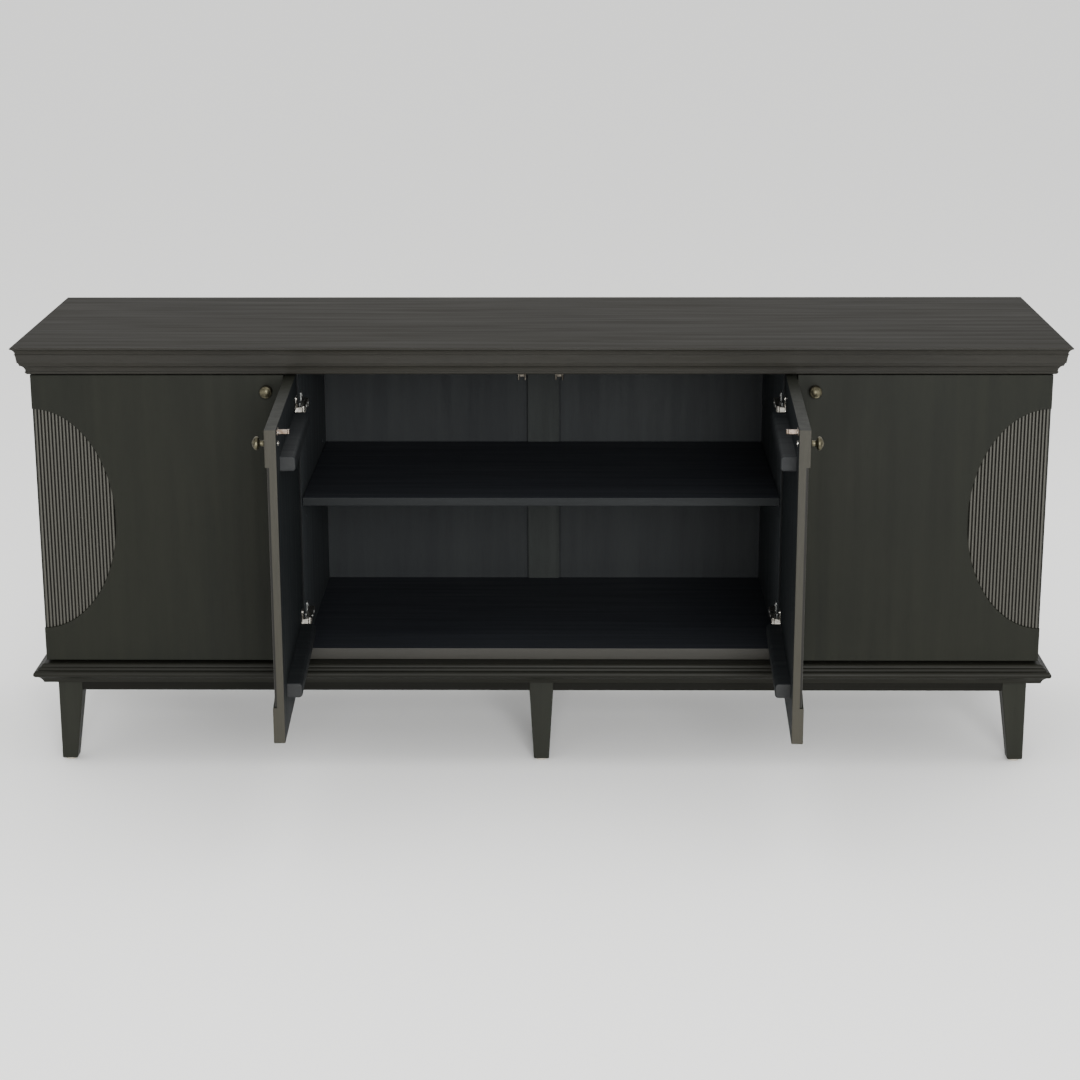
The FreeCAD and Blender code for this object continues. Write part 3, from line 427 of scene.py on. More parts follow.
DULL_BRASS = (plated_metal("Oiled brass", "534F49", "2F2C27", 0.4), "catch_brass")
ZINC = (plated_metal("Zinc plate", "7F807E", "565756", 0.4), "nickel_plate")
NYLON = (moulded_nylon("Moulded nylon", "948D80", "AEA89B"), "glide_nylon")


def finish_node(node, finish):
    """Gives a frame node's own mesh a finish through its material slots."""
    mesh = frame["nodes"][node].data
    mesh.materials.clear()
    mesh.materials.append(finish[0])


def recolour_far_faces(made, away, lipping):
    """Gives the outermost faces that look along away another finish: a real lipping on the shelves and the
    case bottom, painted light and shade on the top, the doors and their battens.
    """
    mesh = made.data
    normals = np.empty(len(mesh.polygons) * 3)
    centres = np.empty(len(mesh.polygons) * 3)
    mesh.polygons.foreach_get("normal", normals)
    mesh.polygons.foreach_get("center", centres)
    reach = centres.reshape(-1, 3) @ np.array(away)
    chosen = (normals.reshape(-1, 3) @ np.array(away) > 0.8) & (reach > reach.max() - 2.5 * MM)
    slots = np.empty(len(mesh.polygons), np.int32)
    mesh.polygons.foreach_get("material_index", slots)
    slots[chosen] = len(mesh.materials)
    mesh.materials.append(lipping)
    mesh.polygons.foreach_set("material_index", slots)


# ------------------------------------------------------------------ top, crown and base
def board_edge():
    """Lip, cove, fine bead and leaning fascia, as (out from the door line, height)."""
    lip = OVERHANG
    top = TOP_Z
    return outline(
        ((lip - 0.8, top), (lip - 0.25, top - 0.25), (lip, top - 0.8)),
        (lip, top - 2.5),
        ((lip, top - 2.5), (lip - 5.2, top - 6.0), (lip - 7.5, top - 12.0)),
        (lip - 6.7, top - 12.0),
        ((lip - 6.7, top - 12.0), (lip - 6.2, top - 12.8), (lip - 6.7, top - 13.6)),
        (lip - 7.5, top - 13.6),
        (lip - 9.6, BOARD_UNDER),
    )


def crown_section(inner):
    """Sloping fillet, cove and small quarter round."""
    lip = OVERHANG
    top = TOP_Z
    foot = corners("crown_moulding_front")[0][2]
    return outline(
        (inner, BOARD_UNDER),
        (lip - 11.0, BOARD_UNDER),
        (lip - 13.3, top - 33.8),
        (lip - 14.5, top - 33.8),
        ((lip - 14.5, top - 33.8), (lip - 19.3, top - 38.2), (lip - 21.5, top - 45.0)),
        (lip - 20.3, top - 45.0),
        ((lip - 20.3, top - 45.0), (lip - 21.6, top - 48.6), (lip - 25.0, foot)),
        (inner, foot),
    )


def base_section(inner):
    """Two fine beads, a half-round nose and a cove back to the legs."""
    nose_z, radius = 175.5, 6.0
    tip = corners("base_moulding_right")[1][0] - CASE_HALF
    nose = tip - radius
    top = BASE_TOP
    return outline(
        (inner, top),
        ((3.6, top), (7.0, top - 1.8), (8.4, top - 5.4)),
        (9.4, top - 5.4),
        ((9.4, top - 5.4), (12.2, top - 6.6), (13.3, top - 9.4)),
        (13.3, nose_z + radius),
        ((nose, nose_z + radius), (tip, nose_z), (nose, nose_z - radius)),
        ((nose, nose_z - radius), (9.2, 164.4), (5.6, MOULD_LOW)),
        (inner, MOULD_LOW),
    )


def plan_ring(out, z):
    """The top's outline at one height: moulded on three sides, straight at the back."""
    side = CASE_HALF + out
    front = FACE_Y - out
    return [(-side, CASE_BACK, z), (-side, front, z), (side, front, z), (side, CASE_BACK, z)]


def mitred_run(section, side, square_inside=False):
    """A section carried along one run between two stations, cut at 45 degrees at the corners.

    side is 0 for the front and -1 or 1 for the ends. With square_inside the part
    of the section behind the door line ends square at the case sides.
    """
    reach = np.maximum(section[:, 0], 0) if square_inside else section[:, 0]
    x = CASE_HALF + reach
    y = FACE_Y - section[:, 0]
    z = section[:, 1]
    if side == 0:
        return loft([np.column_stack([-x, y, z]), np.column_stack([x, y, z])])
    back = np.full_like(y, CASE_BACK)
    x = side * x
    return loft([np.column_stack([x, y, z]), np.column_stack([x, back, z])])


def top_and_mouldings():
    rings = [plan_ring(out, z) for out, z in board_edge()]
    board = piece("top", [loft(rings)], "carcass", CROWN_X, ["top_board"])
    # The board's upper face takes the darker top copy: painted shade.
    recolour_far_faces(board, (0.0, 0.0, 1.0), TOP_ASH)
    crown_back = FACE_Y - CASE_FRONT
    for word, side, crown_ash, base_ash in (("front", 0, CROWN_X, BASE_X), ("left", -1, CROWN_Y, BASE_Y),
                                            ("right", 1, CROWN_Y, BASE_Y)):
        crown = crown_section(crown_back if side == 0 else 0.0)
        run = mitred_run(crown, side, square_inside=True)
        piece("crown_" + word, [run], "carcass", crown_ash, ["crown_moulding_" + word])
        inner = corners("base_moulding_front")[1][1]
        base = base_section(FACE_Y - inner)
        piece("base_" + word, [mitred_run(base, side)], "carcass", base_ash, ["base_moulding_" + word])


# ------------------------------------------------------------------ legs
def leg(node_low, node_high, outer, front):
    """Rounded squares at five heights: an upright outer corner, the other faces tapering.

    outer is the side (-1, 1, or 0 for a middle leg) whose face stays upright, and
    front says whether the front or the rear face does.
    """
    foot, chamfer, ease = 27.5, 1.5, 1.6
    proud = 1.5
    head = node_high[0] - node_low[0]
    low_z = node_low[2]
    levels = [(low_z, foot, chamfer, 0.0), (low_z + chamfer, foot, 0.0, 0.0),
              (APRON_BOTTOM, head, 0.0, 0.0), (MOULD_LOW, head, 0.0, 0.0),
              (MOULD_LOW, head, 0.0, proud), (node_high[2], head, 0.0, proud)]
    rings = []
    for z, size, trim, step in levels:
        if outer == 0:
            middle = (node_low[0] + node_high[0]) / 2
            x0, x1 = middle - size / 2, middle + size / 2
        elif outer < 0:
            x0, x1 = node_low[0] + step, node_low[0] + size
        else:
            x0, x1 = node_high[0] - size, node_high[0] - step
        if front:
            y0, y1 = node_low[1] + step, node_low[1] + size
        else:
            y0, y1 = node_high[1] - size, node_high[1] - step
        flat = rounded(x0 + trim, x1 - trim, y0 + trim, y1 - trim, ease)
        rings.append(np.column_stack([flat, np.full(len(flat), z)]))
    return loft(rings)


def legs():
    for word, outer in (("left", -1), ("centre", 0), ("right", 1)):
        node = "leg_front_" + word
        piece("leg_front_" + word + "_turned", [leg(*corners(node), outer, True)], "carcass", LEG_ASH, [node])
    rear_low, rear_high = corners("legs_rear")
    rear = []
    for outer in (-1, 0, 1):
        low, high = corners("leg_front_" + {-1: "left", 0: "centre", 1: "right"}[outer])
        low[1], high[1] = rear_low[1], rear_high[1]
        rear.append(leg(low, high, outer, False))
    piece("legs_rear_set", rear, "carcass", LEG_ASH, ["legs_rear"])


def glides():
    """Nylon buttons: a low lathe form under each foot."""
    low, high = corners("leg_glides")
    radius = 10.0
    profile = outline((0.0, low[2]), ((radius - 1.6, low[2]), (radius - 0.4, low[2] + 0.5),
                                      (radius, low[2] + 1.7)), (radius, high[2]), (0.0, high[2]))
    half = high[0] - radius
    spots = [(x, y) for y in (low[1] + radius, high[1] - radius) for x in (-half, 0.0, half)]
    made = [lathe(profile, (x, y, 0.0), (0, 0, 1), 32) for x, y in spots]
    piece("glides", made, "carcass", NYLON, ["leg_glides"])


def shelves():
    """The three shelves and the case bottom, each with a lipping along its front."""
    for node, name, ease, lipping in (("shelf_left", "left_shelf", 1.2, SHELF_LIPPING),
                                      ("shelf_centre", "centre_shelf", 1.2, SHELF_LIPPING),
                                      ("shelf_right", "right_shelf", 1.2, SHELF_LIPPING),
                                      ("bottom_panel", "case_bottom", 0.8, BASE_LIPPING)):
        board = piece(name, [eased_block(*corners(node), ease)], "carcass", INSIDE_X, [node])
        recolour_far_faces(board, (0.0, -1.0, 0.0), lipping)


BACK_GROOVE_WIDTH, BACK_GROOVE_DEPTH = 3.0, 4.0


def back():
    """The back sheets carried up from their plan, with a groove each side of the stile."""
    low, high = corners("back_panels")
    stile_low, stile_high = corners("back_stile")
    piece("stile", [eased_block(stile_low, stile_high, 0.8, 2)], "carcass", STILE_PLY, ["back_stile"])
    joint = sum(corners("partition_right"))[0] / 2
    front, rear, floor = low[1], high[1], low[1] + BACK_GROOVE_DEPTH
    near, far = stile_high[0], stile_high[0] + BACK_GROOVE_WIDTH
    inner = [(0, front), (near, front), (near, floor), (far, floor), (far, front), (joint, front),
             (joint, rear), (0, rear)]
    outer = [(joint, front), (high[0], front), (high[0], rear), (joint, rear)]
    sheets = []
    for plan in (np.array(inner), np.array(outer)):
        for side in (-1, 1):
            edge = plan * np.array([side, 1])
            sheets.append(loft([np.column_stack([edge, np.full(len(edge), z)])
                                for z in (low[2], high[2])]))
    piece("back_sheets", sheets, "carcass", BACK_SHEET, ["back_panels"])


# ------------------------------------------------------------------ doors
# Door shapes are worked out closed and left-hinged: X from the hinge edge, Y from
# the case front. seat() swings them open, moves them and mirrors them.
def door_places():
    """Hinge edge, swing axis, opening, side and inlay edge of each door, by its name."""
    rest = -JOINTS["inner_left_swing"]["range_deg"][0]
    partition_low, partition_high = corners("partition_right")
    side_wall = SIDE_HIGH[0] - SIDE_LOW[0]
    partition_wall = (partition_high - partition_low)[0] / 2 - DOOR_GAP / 2
    places = {}
    for kind, edge, opening in (("outer", -CASE_HALF, 0.0), ("inner", DOOR_HIGH[0] + DOOR_GAP, rest)):
        swing = np.array(JOINTS[kind + "_left_swing"]["pos_m"]) / MM
        pin = np.array(JOINTS[kind + "_left_link_turn"]["pos_m"]) / MM
        for side in ("left", "right"):
            places[kind + "_" + side] = {
                "edge": edge,
                "axis": (swing[0] - edge, swing[1] - CASE_FRONT),
                "pin": (pin[0] - edge, pin[1] - CASE_FRONT),
                "opening": opening,
                "mirror": side == "right",
                "inlay": (0.0, 1) if kind == "outer" else (DOOR_WIDTH, -1),
                "wall": side_wall if kind == "outer" else partition_wall,
            }
    return places


def turned(points, centre, degrees):
    """Points turned about an upright line, anticlockwise seen from above."""
    angle = math.radians(degrees)
    x = points[..., 0] - centre[0]
    y = points[..., 1] - centre[1]
    return np.stack([x * math.cos(angle) - y * math.sin(angle) + centre[0],
                     x * math.sin(angle) + y * math.cos(angle) + centre[1], points[..., 2]], -1)


def put(points, door):
    """Door coordinates moved to the door's hinge edge, and mirrored for a right-hand door."""
    placed = np.asarray(points, float) + np.array([door["edge"], CASE_FRONT, 0.0])
    return placed * np.array([-1.0, 1.0, 1.0]) if door["mirror"] else placed


def seat(shape, door):
    """A shape on the leaf of the door, swung to its resting angle."""
    points, faces = shape
    return put(turned(np.asarray(points, float), door["axis"], -door["opening"]), door), faces


def fixed(shape, door):
    """A shape fixed to the case beside the door."""
    return put(shape[0], door), shape[1]


INLAY_REACH = 137.0
INLAY_HALF = 200.0
POCKET = 7.0
SUNK = 3.0
REED_PITCH = 6.0
REED_RISE = 2.2


def inset(loop, distance):
    """A closed outline (X, Z) moved inwards by an equal distance, mitred at its corners."""
    before = np.roll(loop, 1, 0)
    after = np.roll(loop, -1, 0)

    def normal(a, b):
        d = b - a
        length = np.maximum(np.hypot(d[:, 0], d[:, 1]), 1e-9)[:, None]
        return np.column_stack([-d[:, 1], d[:, 0]]) / length
    one, two = normal(before, loop), normal(loop, after)
    both = one + two
    scale = distance / np.maximum((both * one).sum(1), 0.35)
    return loop + both * scale[:, None]


def door_outline(inlay, steps=72):
    """The door's face (X, Z) with the half ellipse cut from one edge, and the same without it.

    Both run anticlockwise and match point for point, so that the pocket's floor
    is the surface ruled between them.
    """
    edge, towards = inlay
    t = np.linspace(0, math.pi, steps + 1)
    bite = np.column_stack([edge + towards * INLAY_REACH * np.sin(t), DOOR_MIDDLE + INLAY_HALF * np.cos(t)])
    plain = np.column_stack([np.full(steps + 1, edge), bite[:, 1]])
    far = DOOR_WIDTH - edge
    rest = np.array([(edge, DOOR_FOOT), (far, DOOR_FOOT), (far, DOOR_HEAD), (edge, DOOR_HEAD)])
    notched = np.vstack([bite, rest])
    whole = np.vstack([plain, rest])
    if towards < 0:
        notched, whole = notched[::-1], whole[::-1]
    return notched, whole


def door_leaf(inlay):
    """Rings from the face to the back: eased face, pocket wall, pocket floor, eased back."""
    notched, whole = door_outline(inlay)
    ease = 1.3
    steps = [(0.0, inset(notched, ease)), (ease * 0.3, inset(notched, ease * 0.3)), (ease, notched),
             (POCKET, notched), (POCKET, whole), (DOOR_THICK - ease, whole),
             (DOOR_THICK - ease * 0.3, inset(whole, ease * 0.3)), (DOOR_THICK, inset(whole, ease))]
    rings = [np.column_stack([flat[:, 0], np.full(len(flat), DOOR_FRONT + depth), flat[:, 1]])
             for depth, flat in steps]
    bore = [(0.0, -CUP_DEPTH - 0.05), (CUP_RADIUS + 0.05, -CUP_DEPTH - 0.05), (CUP_RADIUS + 0.05, 1.0),
            (0.0, 1.0)]
    return bored(loft(rings), [lathe(bore, (CUP_X, DOOR_BACK, z), (0, 1, 0), 64) for z in HINGE_HEIGHTS])


def reeds(inlay):
    """Upright half-round reeds: depth = rise * sqrt(1 - (2 f - 1)^2) across each reed's width f.

    The sheet's height at each place is the half ellipse's own, so every reed
    ends on its curve.
    """
    edge, towards = inlay
    setback, fit = 2.75, 0.3
    count = int(INLAY_REACH / REED_PITCH)
    fraction = np.linspace(0.004, 0.996, 13)
    across = (np.arange(count)[:, None] + fraction[None, :]).ravel() * REED_PITCH
    reach, tall = INLAY_REACH - fit, INLAY_HALF - fit
    across = across[across + setback < reach - 0.3]
    local = (across / REED_PITCH) % 1.0
    rise = REED_RISE * np.sqrt(np.maximum(1 - (2 * local - 1) ** 2, 0))
    out = across + setback
    half = tall * np.sqrt(1 - (out / reach) ** 2)
    share = np.sin(np.linspace(-math.pi / 2, math.pi / 2, 25))[:, None]
    x = np.broadcast_to(edge + towards * out, (25, len(out)))
    z = DOOR_MIDDLE + share * half
    valley = DOOR_FRONT + SUNK + REED_RISE
    y = np.broadcast_to(valley - rise, x.shape)
    back = np.full_like(x, DOOR_FRONT + POCKET)
    # crest is 1 on each reed's crest and 0 in its valleys and on the back; the material paints a highlight by
    # it.
    middle = np.broadcast_to(1 - np.abs(2 * local - 1), x.shape)
    crest = np.concatenate([middle.ravel(), np.zeros(x.size)])
    return slab(np.stack([x, y, z], -1), np.stack([x, back, z], -1)), crest


BATTEN_FROM_END = 69.0


def batten(z):
    """A bar with one flat side on the door, rounded on its two outer corners and its ends."""
    size, corner, turn = 25.0, 6.0, 6
    flat_y = DOOR_BACK
    a = np.linspace(0, math.pi / 2, turn + 1)
    half = size / 2
    y_in = flat_y + size - corner
    upper = np.column_stack([y_in + corner * np.sin(a)[::-1], z + half - corner + corner * np.cos(a)[::-1]])
    lower = np.column_stack([y_in + corner * np.sin(a), z - half + corner - corner * np.cos(a)])
    section = np.vstack([[(flat_y, z - half)], lower, upper, [(flat_y, z + half)]])
    start, end = 52.0, DOOR_WIDTH - 60.0
    ends = np.linspace(0, math.pi / 2, 5)
    travel = corner * (1 - np.cos(ends)) * 0.6
    pull = corner * (1 - np.sin(ends)) * 0.6
    stations = [(start + t, p) for t, p in zip(travel, pull)]
    stations += [(end - t, p) for t, p in zip(travel[::-1], pull[::-1])]
    centre = np.array([flat_y, z])
    span = np.array([size, half])
    rings = []
    for x, shrink in stations:
        squeezed = centre + (section - centre) * (1 - shrink / span)
        rings.append(np.column_stack([np.full(len(section), x), squeezed]))
    return loft(rings)


def rosette():
    """The knob's foot: a thin dished disc with a softened rim."""
    wide, thick = 10.0, 2.4
    profile = outline((2.3, 0.0), (wide - 0.4, 0.0), ((wide - 0.4, 0.0), (wide - 0.1, 0.1), (wide, 0.5)),
                      (wide, thick - 0.8), ((wide, thick - 0.8), (wide - 0.3, thick - 0.2),
                                            (wide - 1.0, thick)), (6.6, thick - 0.4), (5.2, thick))
    x, z = DOOR_WIDTH - 30.0, DOOR_HEAD - 27.5
    return lathe(profile, (x, DOOR_FRONT, z), (0, -1, 0), 48)


def knob():
    """Turned profile: a thin waist on the foot and a flattened ball with a fine groove."""
    tip, wide = 22.0, 11.0
    profile = outline(
        (2.3, 1.2), (5.4, 1.2), (5.4, 2.6),
        ((5.4, 2.6), (4.9, 4.6), (4.6, 7.6)), ((4.6, 7.6), (6.2, 10.0), (wide - 1.4, 11.2)),
        ((wide - 1.4, 11.2), (wide, 14.2), (wide - 1.6, tip - 4.2)),
        (wide - 2.3, tip - 3.8), (wide - 2.7, tip - 3.9), (wide - 3.1, tip - 3.4),
        ((wide - 3.1, tip - 3.4), (4.6, tip - 1.2), (0.0, tip - 0.3)))
    x, z = DOOR_WIDTH - 30.0, DOOR_HEAD - 27.5
    return lathe(profile, (x, DOOR_FRONT, z), (0, -1, 0), 56)


def screw_head(x, y, z, radius, height):
    """A pan head: a dome on a polar grid, with a cross recess where |x| or |z| is small."""
    rows = np.linspace(1.0, 0.02, 14)[:, None]
    turn = np.linspace(0, 2 * math.pi, 48, endpoint=False)[None, :] + math.pi / 48
    u = rows * np.cos(turn)
    v = rows * np.sin(turn)
    dome = height * (0.35 + 0.65 * np.sqrt(1 - (0.92 * rows) ** 2)) + 0 * turn
    cross = (np.minimum(abs(u), abs(v)) < 0.13) & (np.maximum(abs(u), abs(v)) < 0.62)
    dome = np.where(cross, dome - 0.45 * height, dome)
    face = np.stack([x + radius * u, y + dome, z + radius * v], -1)
    rim = face[0].copy()
    rim[:, 1] = y
    return loft(np.concatenate([rim[None], face]))


def plate_outline(low_u, high_u, low_v, high_v, radius, axis, low, high, ease=0.25):
    """A flat plate with round corners and a softened outer edge, facing along one axis."""
    rings = []
    for place, shrink in ((low, 0.0), (high - ease, 0.0), (high, ease)):
        flat = rounded(low_u + shrink, high_u - shrink, low_v + shrink, high_v - shrink, radius, 6)
        ring = np.empty((len(flat), 3))
        ring[:, axis] = place
        first, second = [a for a in range(3) if a != axis]
        ring[:, first], ring[:, second] = flat.T
        rings.append(ring)
    return loft(rings)


CUP_X, CUP_RADIUS, CUP_DEPTH = 20.5, 17.5, 11.5
FLANGE = 1.2
HINGE_HEIGHTS = (DOOR_HEAD - 64.0, DOOR_FOOT + 70.0)
ARM_HALF = 7.0


def hinge_cup(z):
    """A pressed bowl with a rolled rim, and the two wings that take its screws."""
    y = DOOR_BACK
    r = CUP_RADIUS
    bowl = outline((0.0, -CUP_DEPTH), (r - 1.2, -CUP_DEPTH),
                   ((r - 1.2, -CUP_DEPTH), (r - 0.35, -CUP_DEPTH + 0.35), (r, -CUP_DEPTH + 1.2)),
                   (r, 0.0), (r + 1.0, 0.02), ((r + 1.0, 0.6), (r + 0.5, FLANGE), (r - 0.1, FLANGE)),
                   (r - 0.8, FLANGE - 0.4), (r - 0.8, -CUP_DEPTH + 1.8),
                   ((r - 0.8, -CUP_DEPTH + 1.8), (r - 1.2, -CUP_DEPTH + 1.1), (r - 2.0, -CUP_DEPTH + 0.8)),
                   (0.0, -CUP_DEPTH + 0.8))
    shapes = [lathe(bowl, (CUP_X, y, z), (0, 1, 0), 64)]
    wing_x = CUP_X + 6.0
    for way in (-1, 1):
        low, high = sorted((z + way * 15.5, z + way * 30.0))
        shapes.append(plate_outline(wing_x - 8.5, wing_x + 8.5, low, high, 4.0, 1, y + 0.01, y + FLANGE))
    return shapes


def hinge_arm(door, z):
    """A pressed channel: rounded sections carried from the wall plate to the pin, with two cheeks."""
    back = door["wall"] + 2.5
    pin_x, pin_y = door["pin"]
    web = pin_y + 4.5
    middle = back + 4.5
    stations = [(middle, 62.0, 4.4, 6.0), (middle, 61.0, 4.5, 6.9), (middle, 15.5, 4.5, 6.9),
                ((middle + pin_x) / 2, 9.0, 4.2, 6.9), (pin_x, 2.0, 3.5, 6.8),
                (pin_x, web + 0.5, 3.5, 6.8), (pin_x, web, 3.3, 6.5)]
    rings = []
    for x, y, half_x, half_z in stations:
        flat = rounded(x - half_x, x + half_x, z - half_z, z + half_z, 1.4, 4)
        rings.append(np.column_stack([flat[:, 0], np.full(len(flat), y), flat[:, 1]]))
    shapes = [loft(rings)]
    for low, high in ((z - ARM_HALF, z - ARM_HALF + 2.0), (z + ARM_HALF - 2.0, z + ARM_HALF)):
        shapes.append(plate_outline(pin_x - 3.6, pin_x + 3.6, pin_y - 3.6, web + 1.0, 3.2, 2, low, high))
    pin = outline((0.0, -6.9), (1.2, -6.9), (1.2, 6.9), (0.0, 6.9))
    shapes.append(lathe(pin, (pin_x, pin_y, z), (0, 0, 1), 20))
    return shapes


def arm_screws(door, z):
    """The two adjusting screws on the arm's outer face, turned to face along X."""
    shapes = []
    for y, radius in ((24.0, 3.4), (50.0, 3.9)):
        points, faces = screw_head(0.0, 0.0, 0.0, radius, 1.2)
        turned_head = np.column_stack([points[:, 1], points[:, 0], points[:, 2]])
        shapes.append((turned_head + np.array([door["wall"] + 11.4, y, z]), faces))
    return shapes


def hinge_plate(door, z):
    """A cross plate on the wall: one long rounded bar and two short wings."""
    wall = door["wall"]
    bar = plate_outline(10.0, 64.0, z - 8.0, z + 8.0, 2.0, 0, wall, wall + 2.5)
    wings = plate_outline(31.0, 43.0, z - 24.0, z + 24.0, 5.0, 0, wall + 0.02, wall + 2.3)
    return [bar, wings]


def plate_screws(door, z):
    shapes = []
    for way in (-1, 1):
        points, faces = screw_head(0.0, 0.0, 0.0, 3.3, 1.2)
        turned_head = np.column_stack([points[:, 1], points[:, 0], points[:, 2]])
        spot = np.array([door["wall"] + 2.3, 37.0, z + way * 16.0])
        shapes.append((turned_head + spot, faces))
    return shapes


def hinge_link(door, z):
    """A flat strap between two eyes, drawn along X and turned to its resting angle."""
    pin_x, pin_y = door["pin"]
    length, half, tall = 16.5, 1.25, 4.7
    eye, end = 3.0, 2.2
    a = np.linspace(math.radians(25), math.radians(335), 21)
    b = np.linspace(math.radians(-145), math.radians(145), 17)
    loop = np.vstack([np.column_stack([eye * np.cos(a), eye * np.sin(a)]),
                      np.column_stack([length + end * np.cos(b), end * np.sin(b)])])
    rings = []
    for place, shrink in ((-tall, 0.35), (-tall + 0.35, 0.0), (tall - 0.35, 0.0), (tall, 0.35)):
        centre = np.array([length / 2, 0.0])
        flat = centre + (loop - centre) * np.array([1 - shrink / length * 2, 1 - shrink / eye])
        rings.append(np.column_stack([flat + np.array([pin_x, pin_y]), np.full(len(flat), z + place)]))
    points, faces = loft(rings)
    angle = 174.0 + 0.41 * door["opening"]
    return put(turned(points, (pin_x, pin_y), angle), door), faces


CATCH_X = DOOR_WIDTH - 31.0
CATCH_DROP = 11.5


def catch_z():
    return RAIL_BOTTOM - 1.5 - (CATCH_DROP - 1.5) / 2


def door_catch():
    """A plate under the rail, a bridge at its rear, and two jaws that end in rollers."""
    under = RAIL_BOTTOM
    low = under - CATCH_DROP
    shapes = [eased_block((CATCH_X - 7.5, 2.2, under - 1.5), (CATCH_X + 7.5, 35.8, under), 0.4, 1)]
    shapes.append(eased_block((CATCH_X - 7.4, 22.5, low + 2.0), (CATCH_X + 7.4, 35.6, under - 1.4), 0.8, 1))
    for way in (-1, 1):
        near, far = sorted((CATCH_X + way * 4.0, CATCH_X + way * 7.5))
        shapes.append(eased_block((near, 8.5, low + 1.2), (far, 23.0, under - 1.4), 0.6, 1))
        roller = outline((0.0, 0.0), (1.5, 0.0), ((1.5, 0.0), (1.7, 0.15), (1.74, 0.5)),
                         (1.74, 9.4), (1.5, 9.9), (0.0, 9.9))
        shapes.append(lathe(roller, (CATCH_X + way * 5.75, 6.6, low), (0, 0, 1), 24))
    return shapes


def catch_strike():
    """A plate with a tongue that ends in a bulb."""
    z = catch_z()
    y = DOOR_BACK
    plate = plate_outline(CATCH_X - 10.0, CATCH_X + 10.0, z - 5.0, z + 5.0, 2.0, 1, y, y + 1.2)
    t = np.linspace(math.radians(-52), math.radians(232), 17)
    bulb = np.column_stack([2.4 * np.cos(t), 17.0 + 2.4 * np.sin(t)])
    loop = np.vstack([bulb, [(-1.6, 1.0), (1.6, 1.0)]])
    rings = []
    for level in (z - 3.4, z + 3.4):
        rings.append(np.column_stack([CATCH_X + loop[:, 0], y + loop[:, 1], np.full(len(loop), level)]))
    return [plate, loft(rings)]


def door_heads():
    """The screw heads on a door's back: the knob's, four on the cups and two on the strike."""
    y = DOOR_BACK
    shapes = [screw_head(DOOR_WIDTH - 30.0, y, DOOR_HEAD - 27.5, 4.5, 2.2)]
    for z in HINGE_HEIGHTS:
        for way in (-1, 1):
            shapes.append(screw_head(CUP_X + 6.0, y + FLANGE, z + way * 24.0, 2.8, 1.3))
    for way in (-1, 1):
        shapes.append(screw_head(CATCH_X + way * 6.8, y + 1.2, catch_z(), 2.6, 1.2))
    return shapes


def make_door(name, door):
    body = name + "_door"
    inlay = door["inlay"]

    def on_leaf(word, shapes, finish, node, crest=None):
        return piece(name + "_" + word, [seat(shape, door) for shape in shapes], body, finish,
                     [name + "_" + node] if node else [], crest)
    leaf = on_leaf("leaf", [door_leaf(inlay)], ASH_Z, "door_panel")
    angle = math.radians(door["opening"])
    side = -1 if door["mirror"] else 1
    free_edge = (side * math.cos(angle), -math.sin(angle), 0.0)
    # The free edge takes the paler copy: a painted highlight.
    recolour_far_faces(leaf, free_edge, DOOR_EDGE_HIGHLIGHT)
    # The back takes the darker, colder copy: painted shade.
    recolour_far_faces(leaf, (side * math.sin(angle), math.cos(angle), 0.0), DOOR_BACK_ASH)
    sheet, crest = reeds(inlay)
    on_leaf("reeds", [sheet], REED, "reeded_inlay", crest)
    on_leaf("pull", [knob()], OLD_BRASS, "knob")
    on_leaf("rosette", [rosette()], BLACK_BRONZE, None)
    pair = [batten(DOOR_HEAD - BATTEN_FROM_END), batten(DOOR_FOOT + BATTEN_FROM_END)]
    # The bars take the darker, colder copy: painted shade.
    bars = on_leaf("bars", pair, BATTEN_ASH, "battens")
    # The bars' ends take the paler copy: a painted highlight.
    recolour_far_faces(bars, free_edge, BATTEN_END)
    cups = [shape for z in HINGE_HEIGHTS for shape in hinge_cup(z)]
    on_leaf("cups", cups, NICKEL, "hinge_cups")
    on_leaf("strike", catch_strike(), BRASS, "catch_strike")
    on_leaf("screw_heads", door_heads(), NICKEL, "door_screws")
    links = [hinge_link(door, z) for z in HINGE_HEIGHTS]
    piece(name + "_links", links, name + "_links", NICKEL, [name + "_hinge_links"])


def hinges_and_catches(doors):
    """What the four doors' hinges and catches fix to the case."""
    arms, plates, heads, catches = [], [], [], []
    for door in doors.values():
        for z in HINGE_HEIGHTS:
            arms += [fixed(shape, door) for shape in hinge_arm(door, z)]
            plates += [fixed(shape, door) for shape in hinge_plate(door, z)]
            heads += [fixed(shape, door) for shape in plate_screws(door, z) + arm_screws(door, z)]
        catches += [fixed(shape, door) for shape in door_catch()]
    piece("arms", arms, "carcass", NICKEL, ["hinge_arms"])
    piece("plates", plates, "carcass", ZINC, ["hinge_plates"])
    piece("arm_and_plate_screws", heads, "carcass", ZINC)
    piece("catches", catches, "carcass", DULL_BRASS, ["door_catches"])


def frame_nodes():
    """Boards whose frame shape is right keep it and get their finish.

    Each partition also gets a near-black strip along its front edge, let into the board: painted shade,
    standing where there is no real part.
    """
    proud, into, ease = 0.4, 0.3, 0.15
    for node in ("side_panel_left", "side_panel_right"):
        finish_node(node, ASH_Z)
    shade_strips = []
    for node in ("partition_left", "partition_right"):
        finish_node(node, PARTITION_PLY)
        low, high = corners(node)
        shade_strips.append(eased_block((low[0] + 0.1, low[1] - proud, low[2] + 0.5),
                                 (high[0] - 0.1, low[1] + into, high[2] - 0.5), ease, 2))
    piece("partition_front_shade", shade_strips, "carcass", PARTITION_FRONT_SHADE)
    finish_node("front_rails", INSIDE_X)
    finish_node("apron_rails", APRON_ASH)
    finish_node("shelf_pins", NICKEL)


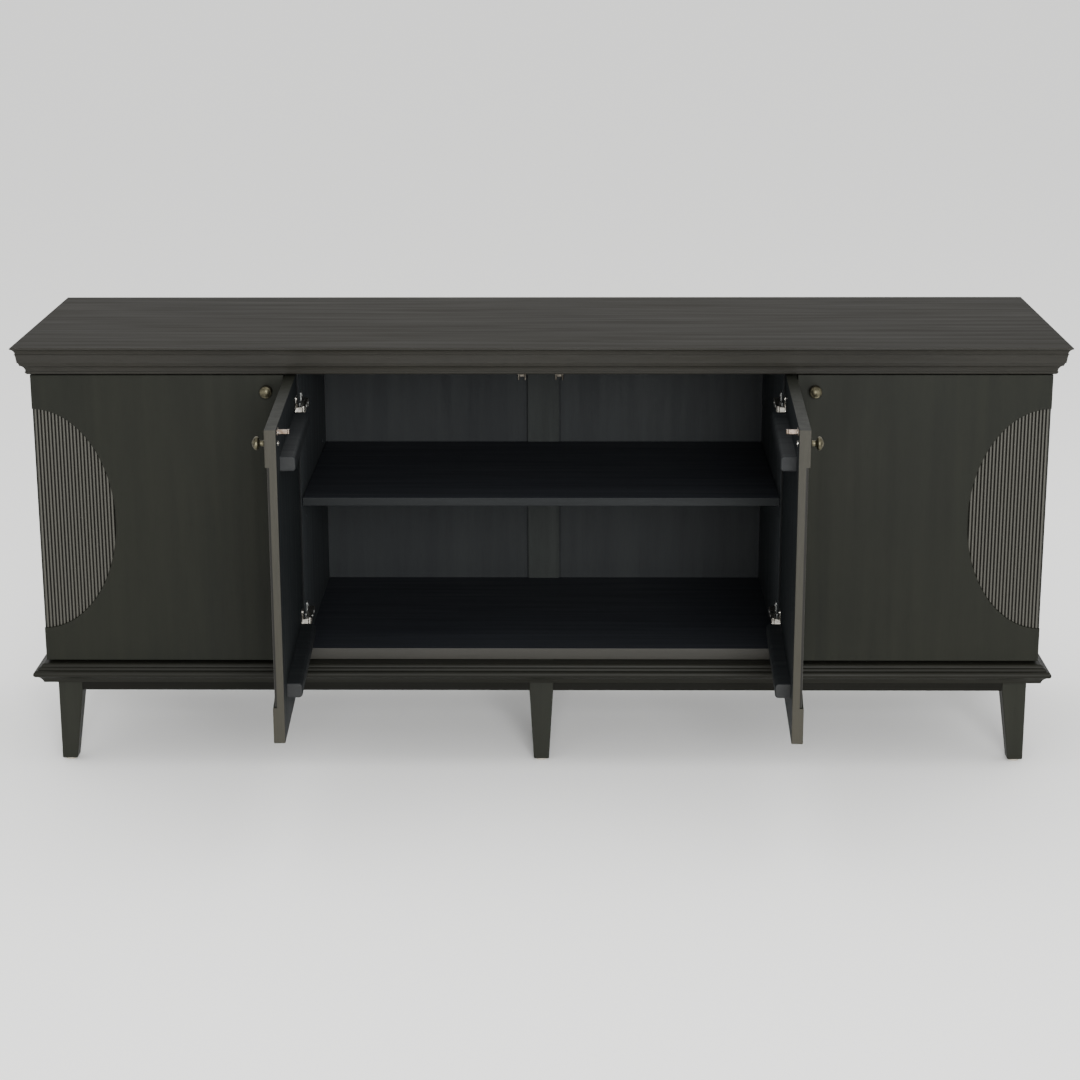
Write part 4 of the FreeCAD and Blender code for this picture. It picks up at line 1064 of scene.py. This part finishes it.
# ------------------------------------------------------------------ studio
def studio():
    """A pale floor that reaches past the view, a soft surround, and two large lamps."""
    mesh = bpy.data.meshes.new("studio_floor")
    reach = 45.0
    mesh.from_pydata([(-reach, -reach, 0), (reach, -reach, 0), (reach, reach, 0), (-reach, reach, 0)],
                     [], [(0, 1, 2, 3)])
    floor = bpy.data.objects.new("studio_floor", mesh)
    bpy.context.scene.collection.objects.link(floor)
    paint, tree, principled = new_material("Pale studio floor", roughness=0.9, specular_ior_level=0.1)
    principled.inputs["Base Color"].default_value = colour("FCFCFA")
    mesh.materials.append(paint)

    world = bpy.data.worlds.new("studio_surround")
    world.use_nodes = True
    backdrop = world.node_tree.nodes["Background"]
    backdrop.inputs["Color"].default_value = colour("FFFFFF")
    backdrop.inputs["Strength"].default_value = 1.3
    bpy.context.scene.world = world

    lamps = [("overhead", (0.0, 0.3, 3.6), (0.0, 0.2, 0.7), 3.6, 58.0),
             ("front", (0.7, -6.5, 2.0), (0.0, 0.0, 0.45), 3.0, 620.0)]
    for name, place, aim, size, power in lamps:
        data = bpy.data.lights.new(name, "AREA")
        data.shape = "DISK"
        data.size = size
        data.energy = power
        lamp = bpy.data.objects.new(name, data)
        bpy.context.scene.collection.objects.link(lamp)
        direction = Matrix.Translation(place).translation - Matrix.Translation(aim).translation
        lamp.location = place
        lamp.rotation_euler = direction.to_track_quat("Z", "Y").to_euler()


def camera():
    """A long lens from standing height, a little right of the middle."""
    data = bpy.data.cameras.new("camera")
    data.sensor_width = 36.0
    data.lens = 81.1
    data.clip_end = 60.0
    eye = bpy.data.objects.new("camera", data)
    place = Matrix.Translation((0.0501, -4.1661, 1.5726))
    yaw = Matrix.Rotation(math.radians(0.713), 4, "Z")
    pitch = Matrix.Rotation(math.radians(90.0 - 15.552), 4, "X")
    roll = Matrix.Rotation(math.radians(-0.152), 4, "Z")
    eye.matrix_world = place @ yaw @ pitch @ roll
    bpy.context.scene.collection.objects.link(eye)
    bpy.context.scene.camera = eye


camera()
studio()
frame_nodes()
top_and_mouldings()
legs()
glides()
shelves()
back()
all_doors = door_places()
for door_name, place in all_doors.items():
    make_door(door_name, place)
hinges_and_catches(all_doors)
